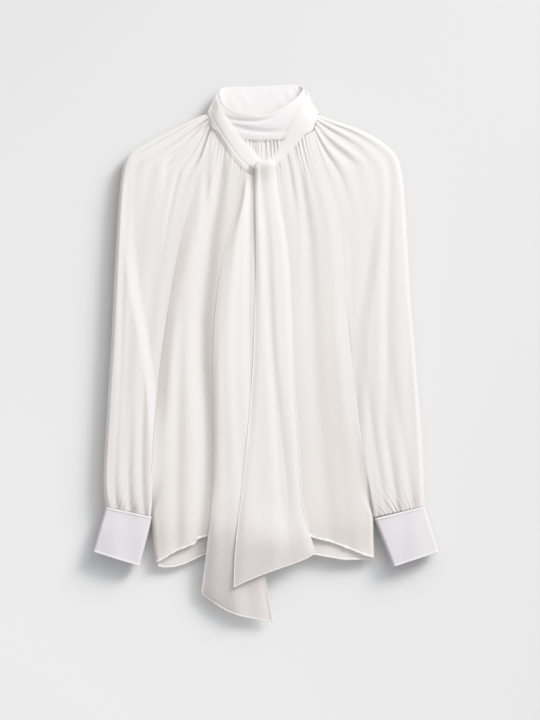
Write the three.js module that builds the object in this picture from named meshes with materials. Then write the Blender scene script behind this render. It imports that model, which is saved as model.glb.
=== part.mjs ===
// A sheer blouse laid out flat, front upwards: gathered body, raglan sleeves, deep cuffs, stand collar and a
// scarf tie knotted once with two long tails. Millimetres; x runs across, y up towards the collar, z up off the
// surface it lies on. In the tables x is taken from the centre front and y from the lowest point of the side seams.
import * as THREE from 'three';

// Driving dimensions
const cloth = 1.5;            // wall of body, sleeves and tails
const doubled = 1.8;          // wall of collar and tie, sewn double
const cuffWall = 2.0;         // wall of the stiffened cuffs
const seam = 0.3;             // space left at each seam
const sideSeam = 4.3;         // height of side and underarm seams above the surface
const foldEdge = 5.0;         // height of the sleeves' outer fold above the surface
const bodyRise = 17.0;        // height of the front panel where the tails lie on it
const hemDrop = 3.5;          // how far the front sinks towards the hem
const bodyRoll = 7.0;         // how far in the front panel takes to roll up from its side edge
const sleeveRoll = 7.5;       // the same at the sleeves' outer fold
const underarm = 11;          // row of the sleeve tables at which the underarm seam begins
const neckFoldWaves = 4.5;    // soft folds across a sleeve head
const gatherRows = [1.1, 1.5, 1.7, 1.5, 1.1, 0.8, 0.5, 0.3, 0.1];   // gathers under the neckline, by row

// Sleeves, from neck to cuff. fold x, y | raglan line x, y | rise of the back raglan line | share of the width
// that lies low beside the body | height of that low part | height of the full part | height of gathers
const sleeveLeft = [
  [-88.4, 701.4, -79, 676.6, 20.9, 0, 13.5, 13, 1],
  [-102.3, 696, -81.4, 666.5, 17.8, 0, 14, 13.5, 1.8],
  [-120.9, 687.4, -84.3, 652.6, 14, 0, 14.5, 14.5, 2],
  [-151.9, 671.9, -88.4, 632.4, 9.3, 0, 15, 15.5, 1.9],
  [-186, 654.1, -93, 616.9, 6.2, 0.3, 15, 16.5, 1.5],
  [-208.5, 639.4, -98.3, 604.5, 3.1, 0.7, 14.5, 17, 1.1],
  [-217, 621.6, -103.1, 590.6, 1.6, 0.84, 13.5, 17.5, 0.7],
  [-222.4, 585.9, -112.7, 558, 0, 0.85, 12, 18.5, 0.3],
  [-226.3, 533.2, -123.7, 516.1, 0, 0.83, 10.5, 19.5, 0],
  [-229.4, 477.4, -133.3, 471.2, 0, 0.75, 9, 20, 0],
  [-232.5, 415.4, -145.2, 404.6, 0, 0.58, 8, 20.5, 0],
  [-235.6, 350.3, -154.2, 341, 0, 0.36, 7.5, 20.5, 0],
  [-239.5, 288.3, -160.4, 282.1, 0, 0.19, 7.5, 20.5, 0],
  [-242.6, 234.1, -165.1, 226.3, 0, 0.08, 9, 20.5, 0.2],
  [-245.7, 182.9, -169, 172.1, 0, 0, 13, 20.5, 0.9],
  [-247.7, 136.4, -170.7, 125.5, 0, 0, 16, 20.5, 2],
  [-246.5, 108.5, -170.8, 96.1, 0, 0, 16, 19, 2.8],
  [-244.1, 92.2, -171.1, 76.7, 0, 0, 14, 16, 2.2],
];
const sleeveRight = [
  [86.8, 699.8, 77.5, 671.9, 26.4, 0, 13.5, 13, 1],
  [99.2, 695.2, 80, 661.9, 21.7, 0, 14, 13.5, 1.8],
  [116.2, 689.3, 83.4, 648.7, 17.1, 0, 14.5, 14.5, 2.2],
  [144.2, 679.7, 89.6, 629.3, 12.4, 0, 15, 15.5, 2.2],
  [175.2, 664.2, 94.5, 615.4, 7.8, 0.2, 15, 16, 1.8],
  [196.8, 648.7, 99.2, 601.4, 4.7, 0.5, 14.8, 16.5, 1.2],
  [210.8, 628.5, 104.3, 587.5, 2.3, 0.66, 14, 17, 0.8],
  [218.1, 592.1, 113.9, 558, 0, 0.66, 12.5, 18, 0.4],
  [221.7, 542.5, 122.5, 517.7, 0, 0.59, 11, 19.5, 0],
  [225.2, 483.6, 126, 468.1, 0, 0.47, 9.5, 20, 0],
  [228.9, 418.5, 128.3, 404.6, 0, 0.32, 8, 20.5, 0],
  [234.1, 356.5, 133.3, 342.6, 0, 0.22, 7.5, 20.5, 0],
  [239, 294.5, 139.2, 280.6, 0, 0.15, 7.5, 20.5, 0],
  [243.7, 237.2, 145.7, 223.2, 0, 0.07, 9, 20, 0.2],
  [247.4, 184.5, 153.5, 172.1, 0, 0, 13, 20, 0.9],
  [249.6, 136.4, 162.6, 125.5, 0, 0, 16, 20, 2],
  [250.3, 111.6, 166.3, 96.1, 0, 0, 16, 19, 2.8],
  [250.3, 93, 169.4, 75.2, 0, 0, 14, 16, 2.2],
];
// Soft creases down a sleeve. first row, last row | place at each (0 body side, 1 fold) | half width | rise
const creasesLeft = [
  [6, 11, 0.93, 0.80, 0.06, -1.6], [12, 17, 0.78, 0.74, 0.06, -1.8], [13, 17, 0.50, 0.46, 0.07, -2.2],
  [12, 17, 0.30, 0.17, 0.06, -1.8], [1, 5, 0.20, 0.40, 0.08, -1.6],
];
const creasesRight = [
  [6, 12, 0.84, 0.52, 0.07, -3.0], [12, 17, 0.62, 0.80, 0.07, -1.8], [13, 17, 0.42, 0.50, 0.06, -2.2],
  [12, 17, 0.22, 0.26, 0.06, -2.0], [2, 5, 0.30, 0.45, 0.07, -2.0], [1, 4, 0.62, 0.70, 0.08, -1.8],
];
// Body below the cuffs. left edge x, y | right edge x, y
const bodyLow = [
  [-169.3, 52.7, 169.4, 48.1],
  [-167.4, 27.9, 169.7, 27.9],
  [-163.5, 4.7, 169.7, 12.4],
];
// Necklines and hems. x, y
const neckFront = [
  [-79, 676.6], [-69.8, 669.3], [-54.2, 663.1],
  [-29.4, 658.8], [-1.6, 657.2], [26.4, 658.8],
  [52.7, 662.8], [68.2, 667.1], [77.5, 671.9],
];
const neckBack = [
  [-79, 697.5], [-57.4, 699.1], [-29.4, 699.5], [-1.6, 699.7],
  [26.4, 699.5], [54.2, 699.1], [77.5, 698.3],
];
const hemFront = [
  [-163.5, 4.7], [-147.2, 15.5], [-134.8, 23.2], [-120.9, 28.4],
  [-106.3, 34.1], [-101.8, 41.9], [-88.8, 45.7], [-43.4, 54.2],
  [-1.6, 57.4], [41.9, 54.2], [72.9, 46.5], [84.6, 42.3],
  [102.3, 38.4], [124, 30.5], [143.8, 22.6], [169.7, 12.4],
];
const hemBack = [
  [-163.5, -0.6], [-153.5, -3.1], [-136.7, -2], [-119.4, 3.4],
  [-102, 12.1], [-86.8, 18.6], [-43.4, 26.4], [-1.6, 29.4],
  [41.9, 24.8], [82.2, 17.1], [100.8, 14], [124, 9.8],
  [147.2, 9.8], [169.7, 10.2],
];
// Folds of the front panel, each a line down the cloth. y | x | half width | rise
const folds = {
  leftEdgeRidge: [
    [660.3, -66.7, 9.3, 0], [567.3, -96.1, 10.8, 2], [443.3, -122.5, 12.4, 3], [319.3, -141.1, 14, 3.5],
    [195.3, -150.3, 15.5, 3.5], [71.3, -150.3, 15.5, 2.5], [9.3, -147.2, 15.5, 2],
  ],
  leftDeepValley: [
    [660.3, -65.1, 7.8, -1.5], [598.3, -66.7, 9.3, -4], [567.3, -71.3, 10.8, -5], [505.3, -83.7, 14, -7],
    [443.3, -91.5, 15.5, -8], [381.3, -97.7, 15.5, -8.5], [319.3, -97.7, 15.5, -8.5], [257.3, -93, 15.5, -8.5],
    [195.3, -89.9, 15.5, -8.5], [133.3, -91.5, 15.5, -8], [71.3, -97.7, 14, -6.5], [24.8, -103.9, 14, -5],
  ],
  leftShortValley: [
    [668.1, -85.2, 4.7, -1], [644.8, -86.8, 5.4, -2.5], [598.3, -88.4, 6.2, -2.5], [567.3, -88.4, 6.2, -2],
    [513.1, -93, 6.2, 0],
  ],
  leftSoftValley: [
    [489.8, -110, 9.3, 0], [412.3, -127.1, 9.3, -1.5], [319.3, -130.2, 9.3, -2.2], [226.3, -131.8, 9.3, -2],
    [133.3, -133.3, 9.3, -1.5], [24.8, -133.3, 9.3, -1.5],
  ],
  rightRidge: [
    [644.8, 85.2, 9.3, 0.5], [567.3, 96.1, 12.4, 2], [474.3, 108.5, 14, 2.5], [350.3, 113.2, 14, 3],
    [195.3, 128.7, 15.5, 3], [24.8, 144.2, 15.5, 2],
  ],
  rightValley: [
    [652.6, 57.4, 4.7, -0.8], [621.6, 60.5, 6.2, -2], [567.3, 62, 7.8, -3], [505.3, 71.3, 9.3, -3.2],
    [412.3, 76, 12.4, -3.5], [319.3, 80.6, 12.4, -3], [195.3, 91.5, 14, -2.5], [24.8, 107, 14, -2.5],
  ],
  rightShortValley: [
    [652.6, 40.3, 4.7, -0.8], [621.6, 41.9, 4.7, -2], [582.8, 46.5, 4.7, -2.2], [528.6, 54.2, 6.2, 0],
  ],
};
// Stand collar, once round from centre back over the left side and the front. neck seam x, y, z | top edge x, y, z
const collar = [
  [-1.6, 701.5, 0, -1.6, 744.8, 0],
  [-35.6, 701.5, 0, -31, 744, 0],
  [-60.5, 701.5, 0, -52.7, 743.5, 0.2],
  [-77.5, 701.5, 1.5, -63.6, 741.5, 3],
  [-83.1, 697.2, 8, -67.6, 735, 11],
  [-82.2, 688.2, 14, -66, 726.2, 19],
  [-76.9, 676.7, 17.5, -61.1, 716.1, 25],
  [-63.6, 667.7, 18, -48.1, 705.6, 28],
  [-35.6, 660.9, 18.3, -27.9, 699.1, 30],
  [-1.6, 658.1, 18.5, -5.4, 696.3, 31],
  [32.6, 660.6, 18.5, 14, 700, 30.5],
  [60.5, 666.5, 18, 34.9, 711.5, 29],
  [75, 673.3, 17.5, 52.1, 724.8, 25],
  [80.6, 686.6, 14, 59.5, 733.3, 19],
  [81.2, 697.2, 8, 62.9, 740.3, 11],
  [76, 701.5, 1.5, 58, 744.9, 3],
  [58.9, 701.5, 0, 48.1, 747.1, 0.2],
  [32.6, 701.5, 0, 26.4, 746.2, 0],
  [-1.1, 701.5, 0, -1.1, 744.9, 0],
];
// Folds along the collar's front. place between neck seam and top edge | half width | rise
const collarFolds = [[0.28, 0.11, -2.6], [0.52, 0.10, 1.0], [0.74, 0.08, -2.2]];
// Tie legs, from the side of the collar to the knot. lower edge x, y, z | upper edge x, y, z | height between
const legLeft = [
  [-88, 701.8, 4.5, -71.9, 734.7, 5.5, 5.2],
  [-87.7, 700, 13, -71, 731.6, 16, 15],
  [-84.6, 690.5, 19, -67.9, 722.6, 25, 24],
  [-77.5, 677.4, 21.5, -61.7, 707.6, 29, 29],
  [-63.6, 655.6, 21, -49.6, 685.1, 28, 31],
  [-47.3, 633.2, 21, -34.1, 664.2, 24.5, 31.5],
  [-32.6, 616.4, 21.5, -18.6, 648.7, 24, 33],
  [-20.2, 609.8, 22.5, -8.5, 636.3, 26, 33],
  [-10.1, 609.8, 23.5, -3.1, 629.3, 26, 32.5],
];
const legRight = [
  [88.4, 701.5, 4.5, 68.2, 736.6, 5.5, 5.2],
  [88, 699.7, 13, 67.6, 734.1, 16, 15],
  [84.6, 692.1, 19, 63.6, 727.6, 25, 24],
  [75.6, 679.5, 21.5, 53.6, 709.1, 30, 29],
  [60.5, 661.5, 21.5, 42.6, 687.4, 29, 31],
  [46.5, 646, 21.2, 33.5, 667.3, 24.5, 31],
  [33.3, 631.5, 21.2, 24.2, 649.8, 23.5, 30.5],
  [22.5, 621.2, 22, 14.9, 636.3, 24, 30],
  [13.2, 615.4, 23, 7, 628.5, 25, 29.5],
];
// Front tail, from the knot down. left edge x, y | right edge x, y | height left, middle, right | valley, depth
const tailFront = [
  [-9.6, 627.9, 18, 628.1, 34, 36, 33, 0.45, 0],
  [-11.5, 624.6, 19.5, 624.6, 37, 39.5, 37, 0.45, 0],
  [-11.8, 616.9, 20.5, 616.9, 39, 42, 39, 0.4, 0.6],
  [-12.1, 606.1, 20.8, 604.5, 36, 40.5, 36.5, 0.38, 1.4],
  [-12.4, 590.6, 22.6, 589, 29.5, 36, 31, 0.38, 2],
  [-12.1, 567.3, 26, 565.8, 25, 31, 26.5, 0.38, 3],
  [-11.8, 536.3, 31.6, 534.8, 22.5, 28.5, 23.5, 0.38, 4],
  [-11.6, 497.6, 37.8, 496, 21.5, 27.5, 22, 0.38, 4.6],
  [-11.6, 443.3, 42.6, 441.8, 21.5, 27, 21.5, 0.38, 4.8],
  [-13.2, 381.3, 45, 379.8, 21.5, 27, 21.5, 0.42, 4.8],
  [-15.2, 319.3, 47.3, 317.8, 22, 27, 21.5, 0.48, 4.6],
  [-19.4, 257.3, 50.4, 257.3, 23.5, 27.5, 21.5, 0.56, 4.4],
  [-24.8, 195.3, 55, 196.8, 25, 28, 21.5, 0.62, 4.2],
  [-31, 133.3, 58.4, 138, 26, 28, 21.5, 0.68, 3.8],
  [-36.4, 86.8, 62, 94.5, 26.5, 28, 21.5, 0.7, 3],
  [-41.1, 45, 71.9, 51.1, 25.5, 27, 20.5, 0.7, 2.4],
  [-44, 9.3, 78.3, 31, 23.5, 25, 19, 0.66, 2],
  [-45.6, -34.1, 81.4, 20.2, 20, 22, 17.5, 0.6, 1.5],
];
// Slanted end of the front tail. share of the width | bow
const tailFrontEnd = [
  [0, 0], [0.14, -1.6], [0.3, -1.9], [0.46, -0.9], [0.62, 0.6], [0.77, 2.2], [0.88, 2.2], [1, 0],
];
// Back tail. left edge x, y | right edge x, y | height left, at the ridge, right | place of the ridge
const tailBack = [
  [-28.7, 609.9, -14.7, 603.7, 26, 30, 26, 0.5],
  [-31, 601.4, -17.1, 596.8, 25.5, 32, 26, 0.5],
  [-33.3, 590.6, -19.2, 587.5, 23.5, 33, 25, 0.5],
  [-37.8, 567.3, -20.2, 565.8, 21.5, 32, 23, 0.52],
  [-46.5, 536.3, -20.8, 534.8, 20.5, 31, 21.5, 0.55],
  [-55.8, 505.3, -21.1, 503.8, 20, 30, 21, 0.58],
  [-68.2, 443.3, -21.4, 441.8, 19.8, 29, 20.5, 0.55],
  [-75.6, 381.3, -21.7, 379.8, 19.8, 28, 20.3, 0.5],
  [-78.1, 319.3, -21.1, 319.3, 19.8, 27, 20, 0.42],
  [-77.8, 257.3, -18.6, 257.3, 19.8, 25.5, 19.8, 0.32],
  [-77.2, 195.3, -13.2, 193.8, 19.8, 24.5, 19.6, 0.27],
  [-78.1, 133.3, -7, 130.2, 19.6, 24, 19.6, 0.25],
  [-82.8, 71.3, -1.6, 65.1, 18.5, 23.5, 19.4, 0.27],
  [-89, 17.1, 2.3, 6.2, 14.5, 20.5, 16, 0.3],
  [-93, -21.7, 6.2, -37.2, 9.5, 15.5, 11, 0.32],
  [-95.3, -38.8, 10.8, -62, 6, 12, 8, 0.34],
  [-94.2, -44.2, 14.7, -88.4, 4, 9, 4.5, 0.36],
];
// Cuffs. fold side top, body side top, fold side bottom, body side bottom; x, y
const cuffLeft = [
  [-244.1, 92.2], [-171.1, 76.7], [-264.3, 22.5], [-191.4, 0],
];
const cuffRight = [
  [250.3, 93], [172.4, 74.1], [272.8, 22.5], [201.5, -1.6],
];
const cuffHeight = [16.0, 17.5, 18.5, 18.5, 18.0];     // over the cuff, from sleeve to opening
const knot = { x: -9.3, y: 620.8, z: 24.5, across: 14.5, along: 7.0, high: 4.5 };

// Colours
const cream = 0xf3efe9, shellPink = 0xeeeae9, coolWhite = 0xf0eef3;

// Interpolation
const lerp = (a, b, t) => a + (b - a) * t;
const clamp = (v, a, b) => Math.min(b, Math.max(a, v));
const ease = (a, b, v) => { const t = clamp((v - a) / (b - a), 0, 1); return t * t * (3 - 2 * t); };
const bell = (v) => Math.exp(-v * v);
// Column c of a table at row position t, on a smooth curve through its rows
function at(rows, t, c) {
  const n = rows.length - 1;
  const i = clamp(Math.floor(t), 0, n - 1), f = t - i;
  const p1 = rows[i][c], p2 = rows[i + 1][c];
  const m1 = i > 0 ? (p2 - rows[i - 1][c]) / 2 : p2 - p1;
  const m2 = i < n - 1 ? (rows[i + 2][c] - p1) / 2 : p2 - p1;
  const f2 = f * f, f3 = f2 * f;
  return (2 * f3 - 3 * f2 + 1) * p1 + (f3 - 2 * f2 + f) * m1 + (3 * f2 - 2 * f3) * p2 + (f3 - f2) * m2;
}
// Column c where column 0 holds the value k, straight between rows; column 0 may rise or fall
function by(rows, k, c) {
  const up = rows[rows.length - 1][0] > rows[0][0];
  for (let i = 0; i < rows.length - 1; i++) {
    const a = rows[i], b = rows[i + 1];
    if ((up ? k <= b[0] : k >= b[0]) || i === rows.length - 2) {
      return lerp(a[c], b[c], clamp((k - a[0]) / (b[0] - a[0]), 0, 1));
    }
  }
  return rows[0][c];
}

// Closed wall between an outer and an inner grid of points; round joins the last column to the first
function wallBetween(outer, inner, round = false) {
  const rows = outer.length, cols = outer[0].length, n = rows * cols;
  const position = [], index = [];
  for (const grid of [outer, inner]) for (const row of grid) for (const p of row) position.push(...p);
  const quad = (a, b, c, d) => index.push(a, b, c, a, c, d);
  const span = round ? cols : cols - 1;
  for (let i = 0; i < rows - 1; i++) {
    for (let j = 0; j < span; j++) {
      const k = (j + 1) % cols;
      const a = i * cols + j, b = i * cols + k, c = (i + 1) * cols + k, d = (i + 1) * cols + j;
      quad(a, b, c, d);
      quad(n + a, n + d, n + c, n + b);
    }
    if (!round) {
      const l0 = i * cols, l1 = (i + 1) * cols, r0 = l0 + cols - 1, r1 = l1 + cols - 1;
      quad(l0, l1, n + l1, n + l0);
      quad(r0, n + r0, n + r1, r1);
    }
  }
  for (let j = 0; j < span; j++) {
    const k = (j + 1) % cols, e = (rows - 1) * cols;
    quad(j, n + j, n + k, k);
    quad(e + j, e + k, n + e + k, n + e + j);
  }
  let volume = 0;
  for (let i = 0; i < index.length; i += 3) {
    const [a, b, c] = [0, 1, 2].map((k) => position.slice(3 * index[i + k], 3 * index[i + k] + 3));
    volume += a[0] * (b[1] * c[2] - b[2] * c[1]) + a[1] * (b[2] * c[0] - b[0] * c[2])
      + a[2] * (b[0] * c[1] - b[1] * c[0]);
  }
  if (volume < 0) {
    for (let i = 0; i < index.length; i += 3) [index[i + 1], index[i + 2]] = [index[i + 2], index[i + 1]];
  }
  const geometry = new THREE.BufferGeometry();
  geometry.setAttribute('position', new THREE.Float32BufferAttribute(position, 3));
  geometry.setIndex(index);
  return geometry;
}
// Normals of a grid of points, turned so that facing(i, j) gives the way they should look
function normals(grid, facing) {
  return grid.map((row, i) => row.map((p, j) => {
    const a = grid[Math.max(0, i - 1)][j], b = grid[Math.min(grid.length - 1, i + 1)][j];
    const c = row[Math.max(0, j - 1)], d = row[Math.min(row.length - 1, j + 1)];
    const n = new THREE.Vector3(b[0] - a[0], b[1] - a[1], b[2] - a[2])
      .cross(new THREE.Vector3(d[0] - c[0], d[1] - c[1], d[2] - c[2])).normalize();
    return n.dot(facing(i, j)) < 0 ? n.negate() : n;
  }));
}
// Wall of a given thickness under a grid of outer points
function wallUnder(grid, thickness, facing = () => new THREE.Vector3(0, 0, 1)) {
  const n = normals(grid, facing);
  const inner = grid.map((row, i) => row.map((p, j) => [
    p[0] - thickness * n[i][j].x, p[1] - thickness * n[i][j].y, p[2] - thickness * n[i][j].z]));
  return wallBetween(grid, inner);
}
// Edges of the body, row by row: front, and back with its higher neckline
const raglan = (rows, rise) => rows.map((r) => [r[2], r[3] + (rise ? r[4] : 0)]);
const edgeLeft = (rise) => [...raglan(sleeveLeft, rise), ...bodyLow.map((r) => [r[0], r[1]])];
const edgeRight = (rise) => [...raglan(sleeveRight, rise), ...bodyLow.map((r) => [r[2], r[3]])];
// 0 where a sleeve joins the body, 1 where side seam and underarm seam run apart
const apart = (row) => clamp((row - underarm + 1) / 2, 0, 1);
const lowOf = (rows, row) => (row < rows.length ? rows[row][6] : rows[rows.length - 1][6]);
const panelEdgeZ = (rows, row) => lerp(lowOf(rows, row) - cloth - 0.5, sideSeam, apart(row));

// Height of the front panel over a point
function bodyTop(x, y) {
  let z = bodyRise - hemDrop * (1 - ease(10, 95, y)) * ease(45, 95, Math.abs(x + 5));
  for (const line of Object.values(folds)) {
    if (y > line[0][0] + 12) continue;
    z += by(line, y, 3) * bell((x - by(line, y, 1)) / by(line, y, 2));
  }
  return z;
}

// One row of a panel that lies between two edge points
function rowFrame(left, right) {
  const dx = right[0] - left[0], dy = right[1] - left[1], width = Math.hypot(dx, dy);
  return { width, point: (s) => [left[0] + dx * s / width, left[1] + dy * s / width] };
}
// Distances in from an edge and heights of a rolled edge: angle runs from 0 at the edge to a right angle
const rollIn = (size, angle, inset) => inset + (size - inset) * (1 - Math.cos(angle));

function frontPanel() {
  const left = edgeLeft(false), right = edgeRight(false);
  const rows = [0, 1, 2, 3, 4, 5, 6, 7, 8, 9, 10, 11, 13, 15, 17, 18, 19, 20];
  const inside = 54, steps = 4;
  const top = left[0][1], bottom = left[left.length - 1][1];
  const outer = [], inner = [];
  for (const row of rows) {
    const frame = rowFrame(left[row], right[row]);
    const down = (top - left[row][1]) / (top - bottom);
    const gather = row < gatherRows.length ? gatherRows[row] : 0;
    const place = (s) => {
      const p = frame.point(s), u = s / frame.width;
      const topX = lerp(left[0][0], right[0][0], u), lowX = lerp(left[20][0], right[20][0], u);
      const sag = by(neckFront, topX, 1) - lerp(left[0][1], right[0][1], u);
      const arch = by(hemFront, lowX, 1) - lerp(left[20][1], right[20][1], u);
      return [p[0], p[1] + sag * (1 - down) + arch * down];
    };
    const high = (s, wave) => {
      const [x, y] = place(s);
      return bodyTop(x, y) + gather * wave;
    };
    const o = [], i = [];
    for (let j = 0; j <= steps; j++) {
      const angle = Math.PI / 2 * j / steps, z = panelEdgeZ(sleeveLeft, row), h = high(bodyRoll, 0);
      o.push([...place(rollIn(bodyRoll, angle, 0)), z + (h - z) * Math.sin(angle)]);
      i.push([...place(rollIn(bodyRoll, angle, cloth)), z + (h - cloth - z) * Math.sin(angle)]);
    }
    const mid = [];
    for (let j = 1; j < inside; j++) {
      const s = lerp(bodyRoll, frame.width - bodyRoll, j / inside);
      const uneven = 0.8 + 0.35 * Math.sin(j * 0.47 + 1.1) + 0.15 * Math.sin(j * 1.13);
      mid.push([...place(s), high(s, uneven * Math.cos(2 * Math.PI * j / 3))]);
    }
    o.push(...mid);
    i.push(...mid.map((p, k) => {
      const a = mid[Math.max(0, k - 1)], b = mid[Math.min(mid.length - 1, k + 1)];
      const slope = (b[2] - a[2]) / Math.max(0.5, b[0] - a[0]);
      return [p[0], p[1], p[2] - cloth * Math.min(1.35, Math.hypot(1, slope))];
    }));
    for (let j = steps; j >= 0; j--) {
      const angle = Math.PI / 2 * j / steps, z = panelEdgeZ(sleeveRight, row);
      const h = high(frame.width - bodyRoll, 0);
      o.push([...place(frame.width - rollIn(bodyRoll, angle, 0)), z + (h - z) * Math.sin(angle)]);
      i.push([...place(frame.width - rollIn(bodyRoll, angle, cloth)), z + (h - cloth - z) * Math.sin(angle)]);
    }
    outer.push(o);
    inner.push(i);
  }
  return wallBetween(outer, inner);
}

function backPanel() {
  const left = edgeLeft(true), right = edgeRight(true);
  const rows = [0, 1, 2, 3, 4, 5, 6, 7, 8, 9, 10, 11, 13, 15, 17, 18, 19, 20];
  const inside = 8, steps = 2, roll = 5.0;
  const top = left[0][1], bottom = left[left.length - 1][1];
  const outer = [], inner = [];
  for (const row of rows) {
    const frame = rowFrame(left[row], right[row]), open = apart(row), z = sideSeam - seam;
    const down = (top - left[row][1]) / (top - bottom);
    const place = (s) => {
      const p = frame.point(s), u = s / frame.width;
      const topX = lerp(left[0][0], right[0][0], u), lowX = lerp(left[20][0], right[20][0], u);
      const sag = by(neckBack, topX, 1) - lerp(left[0][1], right[0][1], u);
      const arch = by(hemBack, lowX, 1) - lerp(left[20][1], right[20][1], u);
      return [p[0], p[1] + sag * (1 - down) + arch * down];
    };
    const edge = (angle, way) => {
      const flat = roll * (1 - Math.cos(angle));
      const so = flat, si = lerp(flat, rollIn(roll, angle, cloth), open);
      const zo = lerp(0, z * (1 - Math.sin(angle)), open), zi = lerp(cloth, z - (z - cloth) * Math.sin(angle), open);
      return [[...place(way(so)), zo], [...place(way(si)), zi]];
    };
    const o = [], i = [];
    for (let j = 0; j <= steps; j++) {
      const [a, b] = edge(Math.PI / 2 * j / steps, (s) => s);
      o.push(a); i.push(b);
    }
    for (let j = 1; j < inside; j++) {
      const p = place(lerp(roll, frame.width - roll, j / inside));
      o.push([...p, 0]); i.push([...p, cloth]);
    }
    for (let j = steps; j >= 0; j--) {
      const [a, b] = edge(Math.PI / 2 * j / steps, (s) => frame.width - s);
      o.push(a); i.push(b);
    }
    outer.push(o);
    inner.push(i);
  }
  return wallBetween(outer, inner);
}

// Height of a sleeve's upper layer: f runs from the body side to the fold
function sleeveTop(rows, creases, row, f) {
  const [, , , , , shelf, low, full] = rows[row];
  let z = shelf > 0
    ? low + (full - low) * ease(shelf - 0.11, Math.min(shelf + 0.10, 0.97), f)
    : lerp(low, full, ease(0, 0.5, f));
  for (const [first, last, from, to, width, rise] of creases) {
    if (row < first - 1 || row > last + 1) continue;
    const t = (row - first) / (last - first);
    z += rise * ease(-0.25, 0.2, t) * (1 - ease(0.95, 1.3, t)) * bell((f - lerp(from, to, t)) / width);
  }
  return z;
}
// A sleeve is one piece of cloth rolled round: upper layer from the front raglan line to the fold, lower layer
// back to the back raglan line, its two edges meeting along the underarm seam
function sleeve(rows, creases, side) {
  const inside = 24, steps = 4, lowSteps = 3, under = 5;
  const outer = [], inner = [];
  rows.forEach((r, row) => {
    const fold = [r[0], r[1]], before = rows[Math.max(0, row - 1)], after = rows[Math.min(rows.length - 1, row + 1)];
    const tx = after[2] - before[2], ty = after[3] - before[3], length = Math.hypot(tx, ty);
    const gap = lerp(seam + 0.05, 1.3, clamp((row - underarm) / 2, 0, 1));
    const out = [side * Math.abs(ty) / length * gap, -side * Math.sign(ty) * tx / length * gap];
    const front = [r[2] + out[0], r[3] + out[1]], back = [r[2] + out[0], r[3] + r[4] + out[1]];
    const over = rowFrame(front, fold), below = rowFrame(fold, back);
    const open = apart(row);
    const rollA = Math.min(5.0, over.width * 0.2), rollO = Math.min(sleeveRoll, over.width * 0.3);
    const rollU = Math.min(5.0, below.width * 0.3);
    const o = [], i = [];
    const height = (s) => sleeveTop(rows, creases, row, s / over.width);
    for (let j = 0; j <= 3; j++) {
      const angle = Math.PI / 2 * j / 3, flat = rollA * (1 - Math.cos(angle)), h = height(rollA);
      const zo = lerp(h, sideSeam + (h - sideSeam) * Math.sin(angle), open);
      const zi = lerp(h - cloth, sideSeam + (h - cloth - sideSeam) * Math.sin(angle), open);
      o.push([...over.point(flat), zo]);
      i.push([...over.point(lerp(flat, rollIn(rollA, angle, cloth), open)), zi]);
    }
    const mid = [];
    for (let j = 1; j < inside; j++) {
      const g = j / inside, s = lerp(rollA, over.width - rollO, g);
      const fine = Math.cos(2 * Math.PI * j / 3) * (0.8 + 0.3 * Math.sin(j * 0.9 + side));
      const broad = Math.sin(2 * Math.PI * neckFoldWaves * g + 0.4);
      const wave = r[8] * (row > 10 ? fine : broad) * ease(0, 0.12, g) * ease(0, 0.12, 1 - g);
      mid.push([...over.point(s), height(s) + (row > 10 ? 0.62 : 0.5) * wave]);
    }
    o.push(...mid);
    i.push(...mid.map((p, k) => {
      const a = mid[Math.max(0, k - 1)], b = mid[Math.min(mid.length - 1, k + 1)];
      const slope = (b[2] - a[2]) / Math.max(0.5, Math.hypot(b[0] - a[0], b[1] - a[1]));
      return [p[0], p[1], p[2] - cloth * Math.min(1.35, Math.hypot(1, slope))];
    }));
    for (let j = steps; j >= 0; j--) {
      const angle = Math.PI / 2 * j / steps, h = height(over.width - rollO);
      o.push([...over.point(over.width - rollIn(rollO, angle, 0)), foldEdge + (h - foldEdge) * Math.sin(angle)]);
      i.push([...over.point(over.width - rollIn(rollO, angle, cloth)),
        foldEdge + (h - cloth - foldEdge) * Math.sin(angle)]);
    }
    for (let j = 1; j <= lowSteps; j++) {
      const angle = Math.PI / 2 * j / lowSteps;
      o.push([...below.point(rollIn(rollU, angle, 0)), foldEdge * (1 - Math.sin(angle))]);
      i.push([...below.point(rollIn(rollU, angle, cloth)), foldEdge - (foldEdge - cloth) * Math.sin(angle)]);
    }
    const rollB = Math.min(4.0, below.width * 0.25);
    for (let j = 1; j < under; j++) {
      const p = below.point(lerp(rollU, below.width - rollB, j / under));
      o.push([...p, 0]); i.push([...p, cloth]);
    }
    for (let j = 3; j >= 0; j--) {
      const angle = Math.PI / 2 * j / 3, flat = rollB * (1 - Math.cos(angle)), z = sideSeam - seam;
      o.push([...below.point(below.width - flat), lerp(0, z * (1 - Math.sin(angle)), open)]);
      i.push([...below.point(below.width - lerp(flat, rollIn(rollB, angle, cloth), open)),
        lerp(cloth, z - (z - cloth) * Math.sin(angle), open)]);
    }
    outer.push(o);
    inner.push(i);
  });
  return wallBetween(outer, inner);
}

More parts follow.
